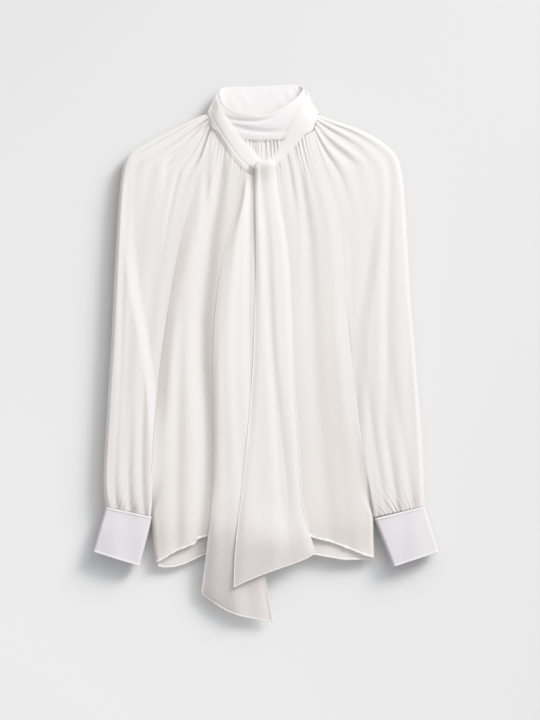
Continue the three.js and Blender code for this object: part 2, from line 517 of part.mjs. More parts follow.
// A cuff is a closed band, flattened
function cuff([foldTop, bodyTopCorner, foldLow, bodyLow2]) {
  const steps = 4, over = 8, outer = [], inner = [], count = cuffHeight.length;
  const ax = foldLow[0] - foldTop[0], ay = foldLow[1] - foldTop[1], along = Math.hypot(ax, ay);
  for (let row = 0; row < count; row++) {
    const t = lerp((seam + 0.1) / along, 1, row / (count - 1));
    const a = [lerp(bodyTopCorner[0], bodyLow2[0], t), lerp(bodyTopCorner[1], bodyLow2[1], t)];
    const b = [lerp(foldTop[0], foldLow[0], t), lerp(foldTop[1], foldLow[1], t)];
    const frame = rowFrame(a, b), h = cuffHeight[row], roll = 9.0;
    const o = [], i = [];
    const top = (s) => h - 1.6 * (1 - Math.sin(Math.PI * clamp(s / frame.width, 0, 1)));
    for (const side of [0, 1]) {
      const way = (s) => (side ? frame.width - s : s);
      for (let j = 1; j <= steps; j++) {
        const angle = Math.PI / 2 * (side ? steps - j : j) / steps;
        const z = foldEdge, k = top(roll);
        o.push([...frame.point(way(rollIn(roll, angle, 0))), z + (k - z) * Math.sin(angle)]);
        i.push([...frame.point(way(rollIn(roll, angle, cuffWall))), z + (k - cuffWall - z) * Math.sin(angle)]);
      }
      if (!side) {
        for (let j = 1; j < over; j++) {
          const s = lerp(roll, frame.width - roll, j / over);
          o.push([...frame.point(s), top(s)]); i.push([...frame.point(s), top(s) - cuffWall]);
        }
        const s = frame.width - roll;
        o.push([...frame.point(s), top(s)]); i.push([...frame.point(s), top(s) - cuffWall]);
      }
    }
    const low = 6.0;
    for (let j = 1; j <= 3; j++) {
      const angle = Math.PI / 2 * j / 3;
      o.push([...frame.point(frame.width - rollIn(low, angle, 0)), foldEdge * (1 - Math.sin(angle))]);
      i.push([...frame.point(frame.width - rollIn(low, angle, cuffWall)),
        foldEdge - (foldEdge - cuffWall) * Math.sin(angle)]);
    }
    for (let j = 1; j < 5; j++) {
      const s = lerp(frame.width - low, low, j / 5);
      o.push([...frame.point(s), 0]); i.push([...frame.point(s), cuffWall]);
    }
    for (let j = 3; j >= 0; j--) {
      const angle = Math.PI / 2 * j / 3;
      o.push([...frame.point(rollIn(low, angle, 0)), foldEdge * (1 - Math.sin(angle))]);
      i.push([...frame.point(rollIn(low, angle, cuffWall)), foldEdge - (foldEdge - cuffWall) * Math.sin(angle)]);
    }
    outer.push(o);
    inner.push(i);
  }
  return wallBetween(outer, inner, true);
}

function collarBand() {
  const around = 36, rows = 7, last = collar.length - 1, grid = [];
  for (let i = 0; i <= rows; i++) {
    const r = i / rows, row = [];
    for (let j = 0; j <= around; j++) {
      const t = last * j / around, p = [0, 1, 2].map((c) => lerp(at(collar, t, c), at(collar, t, c + 3), r));
      const front = ease(4.5, 7.5, t) * (1 - ease(10.5, 13.5, t));
      for (const [place, width, rise] of collarFolds) p[2] += rise * front * bell((r - place) / width);
      p[2] = Math.max(0, p[2]);
      if (j === 0) p[0] -= seam / 2;
      if (j === around) p[0] += seam / 2;
      row.push(p);
    }
    grid.push(row);
  }
  const facing = (i, j) => {
    const p = grid[i][j], t = last * j / around;
    const up = ease(4, 6, t) * (1 - ease(12, 14, t));
    return new THREE.Vector3(up > 0.5 ? 0 : p[0] * (up > 0 || p[2] > 1 ? 1 : 0), 0, up > 0.5 ? 1 : -1);
  };
  return wallUnder(grid, doubled, facing);
}

function leg(rows, side) {
  const across = 8, along = 16, grid = [];
  for (let i = 0; i <= along; i++) {
    const t = (rows.length - 1) * i / along, row = [];
    const [lx, ly, lz, ux, uy, uz, crown] = [0, 1, 2, 3, 4, 5, 6].map((c) => at(rows, t, c));
    for (let j = 0; j <= across; j++) {
      const f = j / across, rise = crown - (lz + uz) / 2;
      row.push([lerp(lx, ux, f), lerp(ly, uy, f), lerp(lz, uz, f) + rise * (1 - Math.abs(2 * f - 1) ** 2.4)]);
    }
    grid.push(row);
  }
  return wallUnder(grid, doubled, (i) => (i < 2 ? new THREE.Vector3(side, 0, 0.4) : new THREE.Vector3(0, 0, 1)));
}

function frontTail() {
  const across = 10, grid = [], last = tailFront.length - 1, along = 24;
  for (let i = 0; i <= along; i++) {
    const t = last * i / along, row = [];
    const [lx, ly, rx, ry, lz, mz, rz, place, depth] = [0, 1, 2, 3, 4, 5, 6, 7, 8].map((c) => at(tailFront, t, c));
    for (let j = 0; j <= across; j++) {
      const f = j / across, bow = 4 * f * (1 - f);
      const end = by(tailFrontEnd, f, 1) * ease(0.75, 1, i / along);
      const z = lerp(lz, rz, f) + (mz - (lz + rz) / 2) * bow ** 0.7 - depth * bell((f - place) / 0.15);
      row.push([lerp(lx, rx, f), lerp(ly, ry, f) - end, z]);
    }
    grid.push(row);
  }
  return wallUnder(grid, cloth, (i) => (i < 2 ? new THREE.Vector3(0, 1, 1) : new THREE.Vector3(0, 0, 1)));
}

function backTail() {
  const across = 10, along = 22, grid = [], last = tailBack.length - 1;
  for (let i = 0; i <= along; i++) {
    const t = last * i / along, row = [];
    const [lx, ly, rx, ry, lz, mz, rz, place] = [0, 1, 2, 3, 4, 5, 6, 7].map((c) => at(tailBack, t, c));
    for (let j = 0; j <= across; j++) {
      const f = j / across, from = f < place ? place : 1 - place;
      const hump = Math.max(0, Math.cos(Math.PI / 2 * (f - place) / from));
      const z = lerp(lz, rz, f) + (mz - lerp(lz, rz, place)) * hump ** 1.5;
      const drop = 14 * Math.sin(Math.PI * f) ** 1.2 * ease(0.72, 1, i / along) * (1 - 0.6 * f);
      row.push([lerp(lx, rx, f), lerp(ly, ry, f) - drop, z]);
    }
    grid.push(row);
  }
  return wallUnder(grid, cloth);
}

// The crossing of the two legs inside the knot
function knotCore() {
  const geometry = new THREE.SphereGeometry(1, 12, 8);
  const seen = new Map(), map = [], points = [], position = geometry.attributes.position;
  for (let i = 0; i < position.count; i++) {
    const p = [position.getX(i), position.getY(i), position.getZ(i)];
    const key = p.map((v) => Math.round(v * 1e4) || 0).join();
    if (!seen.has(key)) {
      seen.set(key, points.length / 3);
      const waist = 1 - 0.18 * bell(p[0] / 0.25);
      points.push(knot.x + knot.across * p[0], knot.y + knot.along * p[1] * waist, knot.z + knot.high * p[2] * waist);
    }
    map.push(seen.get(key));
  }
  const index = [], old = geometry.index.array;
  for (let i = 0; i < old.length; i += 3) {
    const t = [map[old[i]], map[old[i + 1]], map[old[i + 2]]];
    if (new Set(t).size === 3) index.push(...t);
  }
  const out = new THREE.BufferGeometry();
  out.setAttribute('position', new THREE.Float32BufferAttribute(points, 3));
  out.setIndex(index);
  return out;
}

const blouse = new THREE.Group();
function add(name, geometry, colour) {
  geometry.computeVertexNormals();
  const material = new THREE.MeshStandardMaterial({ color: colour, roughness: 0.85, metalness: 0 });
  const mesh = new THREE.Mesh(geometry, material);
  mesh.name = name;
  blouse.add(mesh);
}
add('back_panel', backPanel(), cream);
add('front_panel', frontPanel(), cream);
add('sleeve_left', sleeve(sleeveLeft, creasesLeft, -1), shellPink);
add('sleeve_right', sleeve(sleeveRight, creasesRight, 1), shellPink);
add('cuff_left', cuff(cuffLeft), coolWhite);
add('cuff_right', cuff(cuffRight), coolWhite);
add('collar_band', collarBand(), coolWhite);
add('tie_leg_left', leg(legLeft, -1), cream);
add('tie_leg_right', leg(legRight, 1), cream);
add('tie_knot', knotCore(), cream);
add('tie_tail_back', backTail(), cream);
add('tie_tail_front', frontTail(), cream);

// The middle of the whole stands over the origin, the surface it lies on at z = 0
const bounds = new THREE.Box3().setFromObject(blouse);
const shift = [-(bounds.min.x + bounds.max.x) / 2, -(bounds.min.y + bounds.max.y) / 2, -bounds.min.z];
for (const mesh of blouse.children) mesh.geometry.translate(...shift);

export default blouse;
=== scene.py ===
"""A sheer cream blouse with a scarf tie, laid out flat, front upwards, and seen from straight above."""
import bpy
import math
import numpy as np
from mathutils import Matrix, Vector
from mathutils.bvhtree import BVHTree


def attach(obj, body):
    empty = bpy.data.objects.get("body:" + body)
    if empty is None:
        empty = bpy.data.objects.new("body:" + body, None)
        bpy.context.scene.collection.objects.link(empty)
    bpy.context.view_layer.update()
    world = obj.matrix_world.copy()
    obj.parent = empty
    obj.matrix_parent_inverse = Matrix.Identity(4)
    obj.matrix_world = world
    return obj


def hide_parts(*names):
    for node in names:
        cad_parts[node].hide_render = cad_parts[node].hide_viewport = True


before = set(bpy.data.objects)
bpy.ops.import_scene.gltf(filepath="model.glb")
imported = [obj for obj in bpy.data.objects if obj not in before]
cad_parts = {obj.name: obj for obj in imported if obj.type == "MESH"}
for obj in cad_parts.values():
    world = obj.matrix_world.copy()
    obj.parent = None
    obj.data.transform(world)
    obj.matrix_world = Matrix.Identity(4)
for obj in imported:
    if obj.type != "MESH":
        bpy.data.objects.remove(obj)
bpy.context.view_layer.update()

# ---- Back panel
# One piece of crepe, flat on the board, its side edges turned up a little to the side seams. Its narrow rolled
# hem hangs lower than the front's, so its inside shows under the front hem.
# Tables are in millimetres: x from the centre front, y up from the lowest point of the side seams.
MIDDLE = (4.2, 329.4)          # where the middle of the laid-out blouse lies in those measures
CLOTH = 0.5                    # shown thickness of a single layer
SIDE_SEAM = 4.3                # height of the side seams
UNDERARM = 11                  # row of the sleeve tables where the underarm seam begins
STAND_OFF = 0.010              # how far the blouse stands off the backdrop, in metres

# fold edge x, y | raglan line x, y | rise of the back raglan line | low share | low, full height | gathers
SLEEVE_LEFT = [
    [-88.4, 701.4, -79, 676.6, 20.9, 0, 13.5, 13, 1],
    [-102.3, 696, -81.4, 666.5, 17.8, 0, 14, 13.5, 1.8],
    [-120.9, 687.4, -84.3, 652.6, 14, 0, 14.5, 14.5, 2],
    [-151.9, 671.9, -88.4, 632.4, 9.3, 0, 15, 15.5, 1.9],
    [-186, 654.1, -93, 616.9, 6.2, 0.3, 15, 16.5, 1.5],
    [-208.5, 639.4, -98.3, 604.5, 3.1, 0.7, 14.5, 17, 1.1],
    [-217, 621.6, -103.1, 590.6, 1.6, 0.84, 13.5, 17.5, 0.7],
    [-222.4, 585.9, -112.7, 558, 0, 0.85, 12, 18.5, 0.3],
    [-226.3, 533.2, -123.7, 516.1, 0, 0.83, 10.5, 19.5, 0],
    [-229.4, 477.4, -133.3, 471.2, 0, 0.75, 9, 20, 0],
    [-232.5, 415.4, -145.2, 404.6, 0, 0.58, 8, 20.5, 0],
    [-235.6, 350.3, -154.2, 341, 0, 0.36, 7.5, 20.5, 0],
    [-239.5, 288.3, -160.4, 282.1, 0, 0.19, 7.5, 20.5, 0],
    [-242.6, 234.1, -165.1, 226.3, 0, 0.08, 9, 20.5, 0.2],
    [-245.7, 182.9, -169, 172.1, 0, 0, 13, 20.5, 0.9],
    [-247.7, 136.4, -170.7, 125.5, 0, 0, 16, 20.5, 2],
    [-246.5, 108.5, -170.8, 96.1, 0, 0, 16, 19, 2.8],
    [-244.1, 92.2, -171.1, 76.7, 0, 0, 14, 16, 2.2],
]
SLEEVE_RIGHT = [
    [86.8, 699.8, 77.5, 671.9, 26.4, 0, 13.5, 13, 1],
    [99.2, 695.2, 80, 661.9, 21.7, 0, 14, 13.5, 1.8],
    [116.2, 689.3, 83.4, 648.7, 17.1, 0, 14.5, 14.5, 2.2],
    [144.2, 679.7, 89.6, 629.3, 12.4, 0, 15, 15.5, 2.2],
    [175.2, 664.2, 94.5, 615.4, 7.8, 0.2, 15, 16, 1.8],
    [196.8, 648.7, 99.2, 601.4, 4.7, 0.5, 14.8, 16.5, 1.2],
    [210.8, 628.5, 104.3, 587.5, 2.3, 0.66, 14, 17, 0.8],
    [218.1, 592.1, 113.9, 558, 0, 0.66, 12.5, 18, 0.4],
    [221.7, 542.5, 122.5, 517.7, 0, 0.59, 11, 19.5, 0],
    [225.2, 483.6, 126, 468.1, 0, 0.47, 9.5, 20, 0],
    [228.9, 418.5, 128.3, 404.6, 0, 0.32, 8, 20.5, 0],
    [234.1, 356.5, 133.3, 342.6, 0, 0.22, 7.5, 20.5, 0],
    [239, 294.5, 139.2, 280.6, 0, 0.15, 7.5, 20.5, 0],
    [243.7, 237.2, 145.7, 223.2, 0, 0.07, 9, 20, 0.2],
    [247.4, 184.5, 153.5, 172.1, 0, 0, 13, 20, 0.9],
    [249.6, 136.4, 162.6, 125.5, 0, 0, 16, 20, 2],
    [250.3, 111.6, 166.3, 96.1, 0, 0, 16, 19, 2.8],
    [250.3, 93, 169.4, 75.2, 0, 0, 14, 16, 2.2],
]
# body edges below the cuffs: left x, y | right x, y
BODY_LOW = [
    [-169.3, 52.7, 169.4, 48.1],
    [-167.4, 27.9, 169.7, 27.9],
    [-163.5, 4.7, 169.7, 12.4],
]
NECK_BACK = [
    [-79, 697.5], [-57.4, 699.1], [-29.4, 699.5], [-1.6, 699.7],
    [26.4, 699.5], [54.2, 699.1], [77.5, 698.3],
]
HEM_BACK = [
    [-163.5, -0.6], [-153.5, -3.1], [-136.7, -2], [-119.4, 3.4],
    [-102, 12.1], [-86.8, 18.6], [-43.4, 26.4], [-1.6, 29.4],
    [41.9, 24.8], [82.2, 17.1], [100.8, 14], [124, 9.8],
    [147.2, 9.8], [169.7, 10.2],
]


def ease(a, b, v):
    """0 up to a, 1 from b on, and a smooth rise between them."""
    t = np.clip((v - a) / (b - a), 0, 1)
    return t * t * (3 - 2 * t)


def ease_to(a, b, v):
    """The same where the ends differ from point to point, never narrower than a little slope."""
    return ease(0, 1, (v - a) / np.maximum(b - a, 0.05))


def bell(v):
    """1 at 0, falling away softly to both sides."""
    return np.exp(-v * v)


def along(rows, t):
    """All columns of a table at row positions t, on smooth curves through the rows."""
    rows = np.array(rows, float)
    last = len(rows) - 1
    i = np.clip(np.floor(t).astype(int), 0, last - 1)
    f = (t - i)[:, None]
    p1, p2 = rows[i], rows[i + 1]
    m1 = np.where((i > 0)[:, None], (p2 - rows[np.maximum(i - 1, 0)]) / 2, p2 - p1)
    m2 = np.where((i < last - 1)[:, None], (rows[np.minimum(i + 2, last)] - p1) / 2, p2 - p1)
    out = (2 * f**3 - 3 * f**2 + 1) * p1 + (f**3 - 2 * f**2 + f) * m1 + (3 * f**2 - 2 * f**3) * p2
    return (out + (f**3 - f**2) * m2).T


def reading(rows, key, column):
    """A column of a table where its first column holds the key."""
    rows = np.array(sorted(rows), float)
    return np.interp(key, rows[:, 0], rows[:, column])


def face_up(piece):
    """Turns the faces over where the upper half of a piece looks down, so that its outside faces out."""
    normals = np.empty(len(piece.data.polygons) * 3)
    piece.data.polygons.foreach_get("normal", normals)
    heights = np.array([p.center.z for p in piece.data.polygons])
    if normals.reshape(-1, 3)[heights > np.median(heights), 2].mean() < 0:
        bpy.ops.object.mode_set(mode="EDIT")
        bpy.ops.mesh.select_all(action="SELECT")
        bpy.ops.mesh.flip_normals()
        bpy.ops.object.mode_set(mode="OBJECT")


def lay_sheet(name, across, down, place):
    """A grid of cloth laid out point by point: place(u, v) gives x, y, z in millimetres, u across and v down."""
    bpy.ops.object.select_all(action="DESELECT")
    bpy.ops.mesh.primitive_grid_add(x_subdivisions=across, y_subdivisions=down, size=2)
    piece = bpy.context.object
    piece.name = piece.data.name = name
    co = np.empty(len(piece.data.vertices) * 3)
    piece.data.vertices.foreach_get("co", co)
    co = co.reshape(-1, 3)
    x, y, z = place((co[:, 0] + 1) / 2, (1 - co[:, 1]) / 2)
    laid = np.stack([x - MIDDLE[0], y - MIDDLE[1], z], 1) / 1000
    piece.data.vertices.foreach_set("co", laid.astype(np.float32).ravel())
    piece.data.update()
    face_up(piece)
    bpy.ops.object.shade_smooth()
    return piece


def heights_below(x, y, pieces):
    """How high the given pieces reach over each point, by looking straight down on them; 0 on the board."""
    top = np.zeros(len(x))
    for piece in pieces:
        cloth = piece.data
        lookout = BVHTree.FromPolygons([v.co for v in cloth.vertices], [p.vertices for p in cloth.polygons])
        for k in range(len(x)):
            spot = Vector(((x[k] - MIDDLE[0]) / 1000, (y[k] - MIDDLE[1]) / 1000, 0.2))
            hit = lookout.ray_cast(spot, Vector((0, 0, -1)))[0]
            if hit is not None:
                top[k] = max(top[k], hit.z * 1000)
    return top


def carried(u, v, below, across=2, down=6):
    """The evened-out height of what lies under a sheet, whose own stiffness takes it over small folds."""
    terms = np.polynomial.legendre.legvander2d(2 * u - 1, 2 * v - 1, (across, down))
    on = below > 1
    return terms @ np.linalg.lstsq(terms[on], below[on], rcond=None)[0]


def rest_edges(z, below, edge, width, where=1.0, lift=0.6):
    """Lets a sheet's edges down onto what lies under it, as far as where says, and keeps the rest clear of it."""
    resting = below + lift
    turn = 1 - (1 - np.clip(edge / width, 0, 1)) ** 2
    rested = resting + np.maximum(z - resting, 0.2) * turn
    return np.where(below > 0.5, np.maximum(z + (rested - z) * where, resting - 30 * (1 - where)), z)


def give_wall(piece, thickness, offset=-1.0):
    """The cloth gets its thickness, under the side that faces up or out."""
    wall = piece.modifiers.new("wall", "SOLIDIFY")
    wall.thickness = thickness / 1000
    wall.offset = offset


def crepe(name, colour, tint, alpha, streak=0.5, grain=0.35, roughness=0.8, low=None):
    """Sheer crepe: pebbled yarns, faint streaks down the grain, a broad unevenness in its colour.
    low is a painted shade where it hangs free below the hem: a darker, pinker colour that stands in for the
    shadowed backdrop seen through the single layer."""
    material = bpy.data.materials.new(name)
    material.use_nodes = True
    nodes, links = material.node_tree.nodes, material.node_tree.links
    shader = nodes["Principled BSDF"]
    where = nodes.new("ShaderNodeTexCoord")

    def noise(scale, stretch, detail):
        turned = nodes.new("ShaderNodeMapping")
        turned.inputs["Scale"].default_value = stretch
        links.new(where.outputs["Object"], turned.inputs["Vector"])
        texture = nodes.new("ShaderNodeTexNoise")
        texture.inputs["Scale"].default_value = scale
        texture.inputs["Detail"].default_value = detail
        links.new(turned.outputs["Vector"], texture.inputs["Vector"])
        return texture.outputs["Fac"]

    broad, streaks, pebble = noise(7, (1, 0.6, 1), 2), noise(160, (1, 0.05, 1), 3), noise(1500, (1, 0.7, 1), 2)
    mix = nodes.new("ShaderNodeMix")
    mix.data_type = "RGBA"
    mix.inputs["A"].default_value = (*colour, 1)
    mix.inputs["B"].default_value = (*tint, 1)
    amount = nodes.new("ShaderNodeMath")
    amount.operation = "MULTIPLY_ADD"
    amount.inputs[1].default_value = 0.45 * streak
    links.new(streaks, amount.inputs[0])
    links.new(broad, amount.inputs[2])
    ramp = nodes.new("ShaderNodeMapRange")
    links.new(amount.outputs[0], ramp.inputs["Value"])
    links.new(ramp.outputs["Result"], mix.inputs["Factor"])
    links.new(mix.outputs["Result"], shader.inputs["Base Color"])
    # painted shade: below the body's hem the colour turns darker and pinker, standing in for the shadowed backdrop
    # seen through the sheer cloth
    if low:
        height = nodes.new("ShaderNodeSeparateXYZ")
        free, drop = nodes.new("ShaderNodeMapRange"), nodes.new("ShaderNodeMix")
        links.new(where.outputs["Object"], height.inputs["Vector"])
        painted_shade_patches = nodes.new("ShaderNodeMath")         # the change of colour runs in soft patches, not in a line
        painted_shade_patches.operation = "MULTIPLY_ADD"
        painted_shade_patches.inputs[1].default_value = 0.14
        links.new(amount.outputs[0], painted_shade_patches.inputs[0])
        links.new(height.outputs["Y"], painted_shade_patches.inputs[2])
        free.inputs["From Min"].default_value = -0.148      # above the body's hem
        free.inputs["From Max"].default_value = -0.202      # below it
        links.new(painted_shade_patches.outputs[0], free.inputs["Value"])
        drop.data_type = "RGBA"
        links.new(free.outputs["Result"], drop.inputs["Factor"])
        links.new(mix.outputs["Result"], drop.inputs["A"])
        drop.inputs["B"].default_value = (*low, 1)
        links.new(drop.outputs["Result"], shader.inputs["Base Color"])
    rough = nodes.new("ShaderNodeMapRange")
    links.new(pebble, rough.inputs["Value"])
    links.new(rough.outputs["Result"], shader.inputs["Roughness"])
    first, second = nodes.new("ShaderNodeBump"), nodes.new("ShaderNodeBump")
    links.new(pebble, first.inputs["Height"])
    links.new(streaks, second.inputs["Height"])
    links.new(first.outputs["Normal"], second.inputs["Normal"])
    links.new(second.outputs["Normal"], shader.inputs["Normal"])
    for node, settings in (
            (ramp, {"From Min": 0.35, "From Max": 1.0}),
            (rough, {"To Min": roughness - 0.1, "To Max": roughness + 0.1}),
            (first, {"Strength": grain, "Distance": 0.00012}),
            (second, {"Strength": streak, "Distance": 0.0003}),
            (shader, {"Alpha": alpha, "Sheen Weight": 0.25, "Sheen Roughness": 0.45, "Specular IOR Level": 0.25})):
        for socket, value in settings.items():
            node.inputs[socket].default_value = value
    return material


def stitched(name, colour, alpha):
    """A rolled hem or seam edge: denser cloth with a row of small stitches along its inner edge, on the UV map."""
    material = crepe(name, colour, tuple(c * 0.97 for c in colour), alpha, streak=0.2)
    nodes, links = material.node_tree.nodes, material.node_tree.links
    shader = nodes["Principled BSDF"]
    uv = nodes.new("ShaderNodeUVMap")
    split = nodes.new("ShaderNodeSeparateXYZ")
    links.new(uv.outputs["UV"], split.inputs["Vector"])

    def maths(kind, a, b=None):
        node = nodes.new("ShaderNodeMath")
        node.operation = kind
        for k, value in enumerate((a, b)):
            if isinstance(value, (int, float)):
                node.inputs[k].default_value = value
            elif value is not None:
                links.new(value, node.inputs[k])
        return node.outputs[0]

    dash = maths("LESS_THAN", maths("FRACT", maths("MULTIPLY", split.outputs["X"], 400)), 0.66)
    row = maths("LESS_THAN", maths("ABSOLUTE", maths("SUBTRACT", split.outputs["Y"], 0.0007)), 0.00022)
    stitch = maths("MULTIPLY", dash, row)
    base = shader.inputs["Base Color"].links[0].from_socket
    mix = nodes.new("ShaderNodeMix")
    mix.data_type = "RGBA"
    mix.inputs["B"].default_value = tuple(c * 0.82 for c in colour) + (1,)
    links.new(base, mix.inputs["A"])
    links.new(stitch, mix.inputs["Factor"])
    links.new(mix.outputs["Result"], shader.inputs["Base Color"])
    bump = nodes.new("ShaderNodeBump")
    bump.inputs["Strength"].default_value = 0.6
    bump.inputs["Distance"].default_value = 0.0003
    links.new(stitch, bump.inputs["Height"])
    links.new(shader.inputs["Normal"].links[0].from_socket, bump.inputs["Normal"])
    links.new(bump.outputs["Normal"], shader.inputs["Normal"])
    return material


def rolled_hem(name, place, length, size, pucker, material, fade=0):
    """A narrow hem, turned twice: a soft tube along the edge that place(w) gives, drawn up by its stitches.
    length, size and fade, over which it thins out at its start, are in millimetres."""
    def tube(u, v):
        x, y, z = place(u)
        ahead, behind = place(np.minimum(u + 0.003, 1)), place(np.maximum(u - 0.003, 0))
        dx, dy = ahead[0] - behind[0], ahead[1] - behind[1]
        run = np.hypot(dx, dy)
        u_mm = u * length
        stitch_pull = 0.5 * np.sin(u_mm / 1.9 + 2 * np.sin(u_mm / 11)) + 0.5 * np.sin(u_mm / 4.7 + 1)
        swell = (0.1 + 0.9 * ease(0, fade, u_mm) if fade else 1) + pucker * stitch_pull
        turn = 2 * math.pi * v
        side, rise = 0.5 * size * swell * np.cos(turn), 0.36 * size * swell * (1 + np.sin(turn))
        return x - dy / run * side, y + dx / run * side, z + rise

    hem = lay_sheet(name, int(length / 2), 10, tube)
    close_round(hem)
    measure_uv(hem, length / 1000, math.pi * size / 1000)
    hem.data.materials.append(material)
    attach(hem, "root")
    return hem


def close_round(piece):
    """Joins the first and last lines of points of a sheet that goes all the way round."""
    bpy.ops.object.mode_set(mode="EDIT")
    bpy.ops.mesh.select_all(action="SELECT")
    bpy.ops.mesh.remove_doubles(threshold=0.0001)
    bpy.ops.mesh.normals_make_consistent(inside=False)
    bpy.ops.object.mode_set(mode="OBJECT")
    face_up(piece)


def measure_uv(piece, width, length):
    """The UV map in metres of cloth, so that stitches keep their size."""
    uv = piece.data.uv_layers[0].data
    flat = np.empty(len(uv) * 2)
    uv.foreach_get("uv", flat)
    flat = flat.reshape(-1, 2) * (width, length)
    uv.foreach_set("uv", flat.astype(np.float32).ravel())


def body_edges(rise):
    """Left and right edges of the body, row by row: the raglan lines, then the sides down to the hem."""
    left = [[r[2], r[3] + rise * r[4]] for r in SLEEVE_LEFT] + [[r[0], r[1]] for r in BODY_LOW]
    right = [[r[2], r[3] + rise * r[4]] for r in SLEEVE_RIGHT] + [[r[2], r[3]] for r in BODY_LOW]
    return np.array(left), np.array(right)


def body_frame(v, rise, neck, hem):
    """Gives for each point down the body its width and a function that places a distance in from the left edge."""
    left, right = body_edges(rise)
    drop = (left[0, 1] - left[:, 1]) / (left[0, 1] - left[-1, 1])
    t = np.interp(v, drop, np.arange(len(left)))
    lx, ly = along(left, t)
    rx, ry = along(right, t)
    width = np.hypot(rx - lx, ry - ly)

    def place(s):
        u = s / width
        top, low = left[0, 0] + (right[0, 0] - left[0, 0]) * u, left[-1, 0] + (right[-1, 0] - left[-1, 0]) * u
        sag = reading(neck, top, 1) - (left[0, 1] + (right[0, 1] - left[0, 1]) * u)
        arch = reading(hem, low, 1) - (left[-1, 1] + (right[-1, 1] - left[-1, 1]) * u)
        return lx + (rx - lx) * u, ly + (ry - ly) * u + sag * (1 - v) + arch * v

    return t, width, place


def apart(t):
    """0 where a sleeve joins the body, 1 where the side seam and the underarm seam run apart."""
    return np.clip((t - UNDERARM + 1) / 2, 0, 1)


def into_cuff(t):
    """0 above, 1 where a sleeve is drawn in to its cuff."""
    return ease(14.5, 17, t)


def along_hem(w):
    """Where a body hem runs: from side seam to side seam, just above the cut edge."""
    return 0.003 + 0.994 * w, np.full_like(w, 0.9985)


def back_place(u, v):
    t, width, place = body_frame(v, 1, NECK_BACK, HEM_BACK)
    s = u * width
    x, y = place(s)
    edge = np.minimum(s, width - s)
    curl = SIDE_SEAM * (1 - np.sqrt(1 - (1 - np.clip(edge / 5.0, 0, 1)) ** 2))
    soft = 0.5 * (1 + np.sin(x * 0.07 + 0.6 * np.sin(y * 0.011))) * ease(0.55, 1, v) * ease(0, 30, edge)
    sag = 6 * (1 - ease(20, 95, y)) * ease(10, 50, x) * ease(0, 30, edge)
    return x, y, 0.15 + curl * apart(t) + 1.2 * soft + sag


body_crepe = crepe("body_crepe", (0.89, 0.842, 0.802), (0.85, 0.797, 0.768), 0.6, streak=0.8)
hem_crepe = stitched("hem_crepe", (0.99, 0.96, 0.93), 0.75)

back = lay_sheet("back_panel_cloth", 90, 120, back_place)
give_wall(back, CLOTH, 1.0)
back.data.materials.append(body_crepe)
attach(back, "root")
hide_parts("back_panel")

back_hem = rolled_hem("back_hem", lambda w: back_place(*along_hem(w)), length=340, size=3.2, pucker=0.15,
                      material=hem_crepe)

# ---- Sleeves
# Each is one raglan piece rolled round, closed by an underarm seam, lightly gathered at the neck and fully
# gathered into the cuff. The part beside the body lies low; the rest stands up towards its outer fold.
FOLD_EDGE = 5.0                # height of the middle of a folded edge
SLEEVE_ROLL = 7.5              # how wide the outer fold rolls over
SLEEVE_LENGTH = 620
SHELF_LIFT = {-1: 0.3, 1: 0.62}        # how much of the rise the low part already has, left and right
NECK_GATHER = {-1: 0.95, 1: 0.5}       # strength of the folds at the neck, left and right
# first row, last row | place at each (0 body side, 1 fold) | half width | rise
CREASES_LEFT = [
    [6, 11, 0.93, 0.80, 0.06, -1.6], [12, 17, 0.78, 0.74, 0.06, -1.08], [13, 17, 0.50, 0.46, 0.07, -1.32],
    [12, 17, 0.30, 0.17, 0.06, -1.08], [1, 5, 0.20, 0.40, 0.08, -1.6], [0, 4, 0.42, 0.52, 0.04, -3.2],
    [0, 5, 0.66, 0.46, 0.04, -2.8], [0, 4, 0.14, 0.16, 0.04, -2.8], [1, 7, 0.30, 0.26, 0.035, -2.2],
]
CREASES_RIGHT = [
    [6, 12, 0.84, 0.52, 0.07, -2.1], [12, 17, 0.62, 0.80, 0.07, -1.08], [13, 17, 0.42, 0.50, 0.06, -1.32],
    [12, 17, 0.22, 0.26, 0.06, -1.2], [2, 5, 0.30, 0.45, 0.07, -1.4], [1, 4, 0.62, 0.70, 0.08, -1.26],
    [0, 4, 0.45, 0.58, 0.035, -0.84], [1, 6, 0.16, 0.18, 0.035, -0.77], [0, 3, 0.80, 0.86, 0.035, -0.63],
]
# places round the sleeve where each part begins: body edge roll, upper layer, fold, lower fold, lower layer, seam
ROUND = [0.0, 0.05, 0.62, 0.70, 0.75, 0.95, 1.0]


def tucks(u, depth, count, reach):
    """Small uneven gathers: u runs along the seam, depth is the distance from it in millimetres."""
    phase = count * u + 0.33 * np.sin(14.1 * u + 0.7) + 0.21 * np.sin(37.3 * u + 2.1)
    strong = 0.75 + 0.35 * np.sin(21.7 * u + 1.3) + 0.2 * np.sin(53.1 * u)
    length = reach * (0.65 + 0.45 * np.sin(33.9 * u + 0.4) ** 2)
    ridge = 1 - 2 * np.abs(np.sin(math.pi * phase)) ** 1.4
    return strong * ridge * np.exp(-((depth / length) ** 1.3))


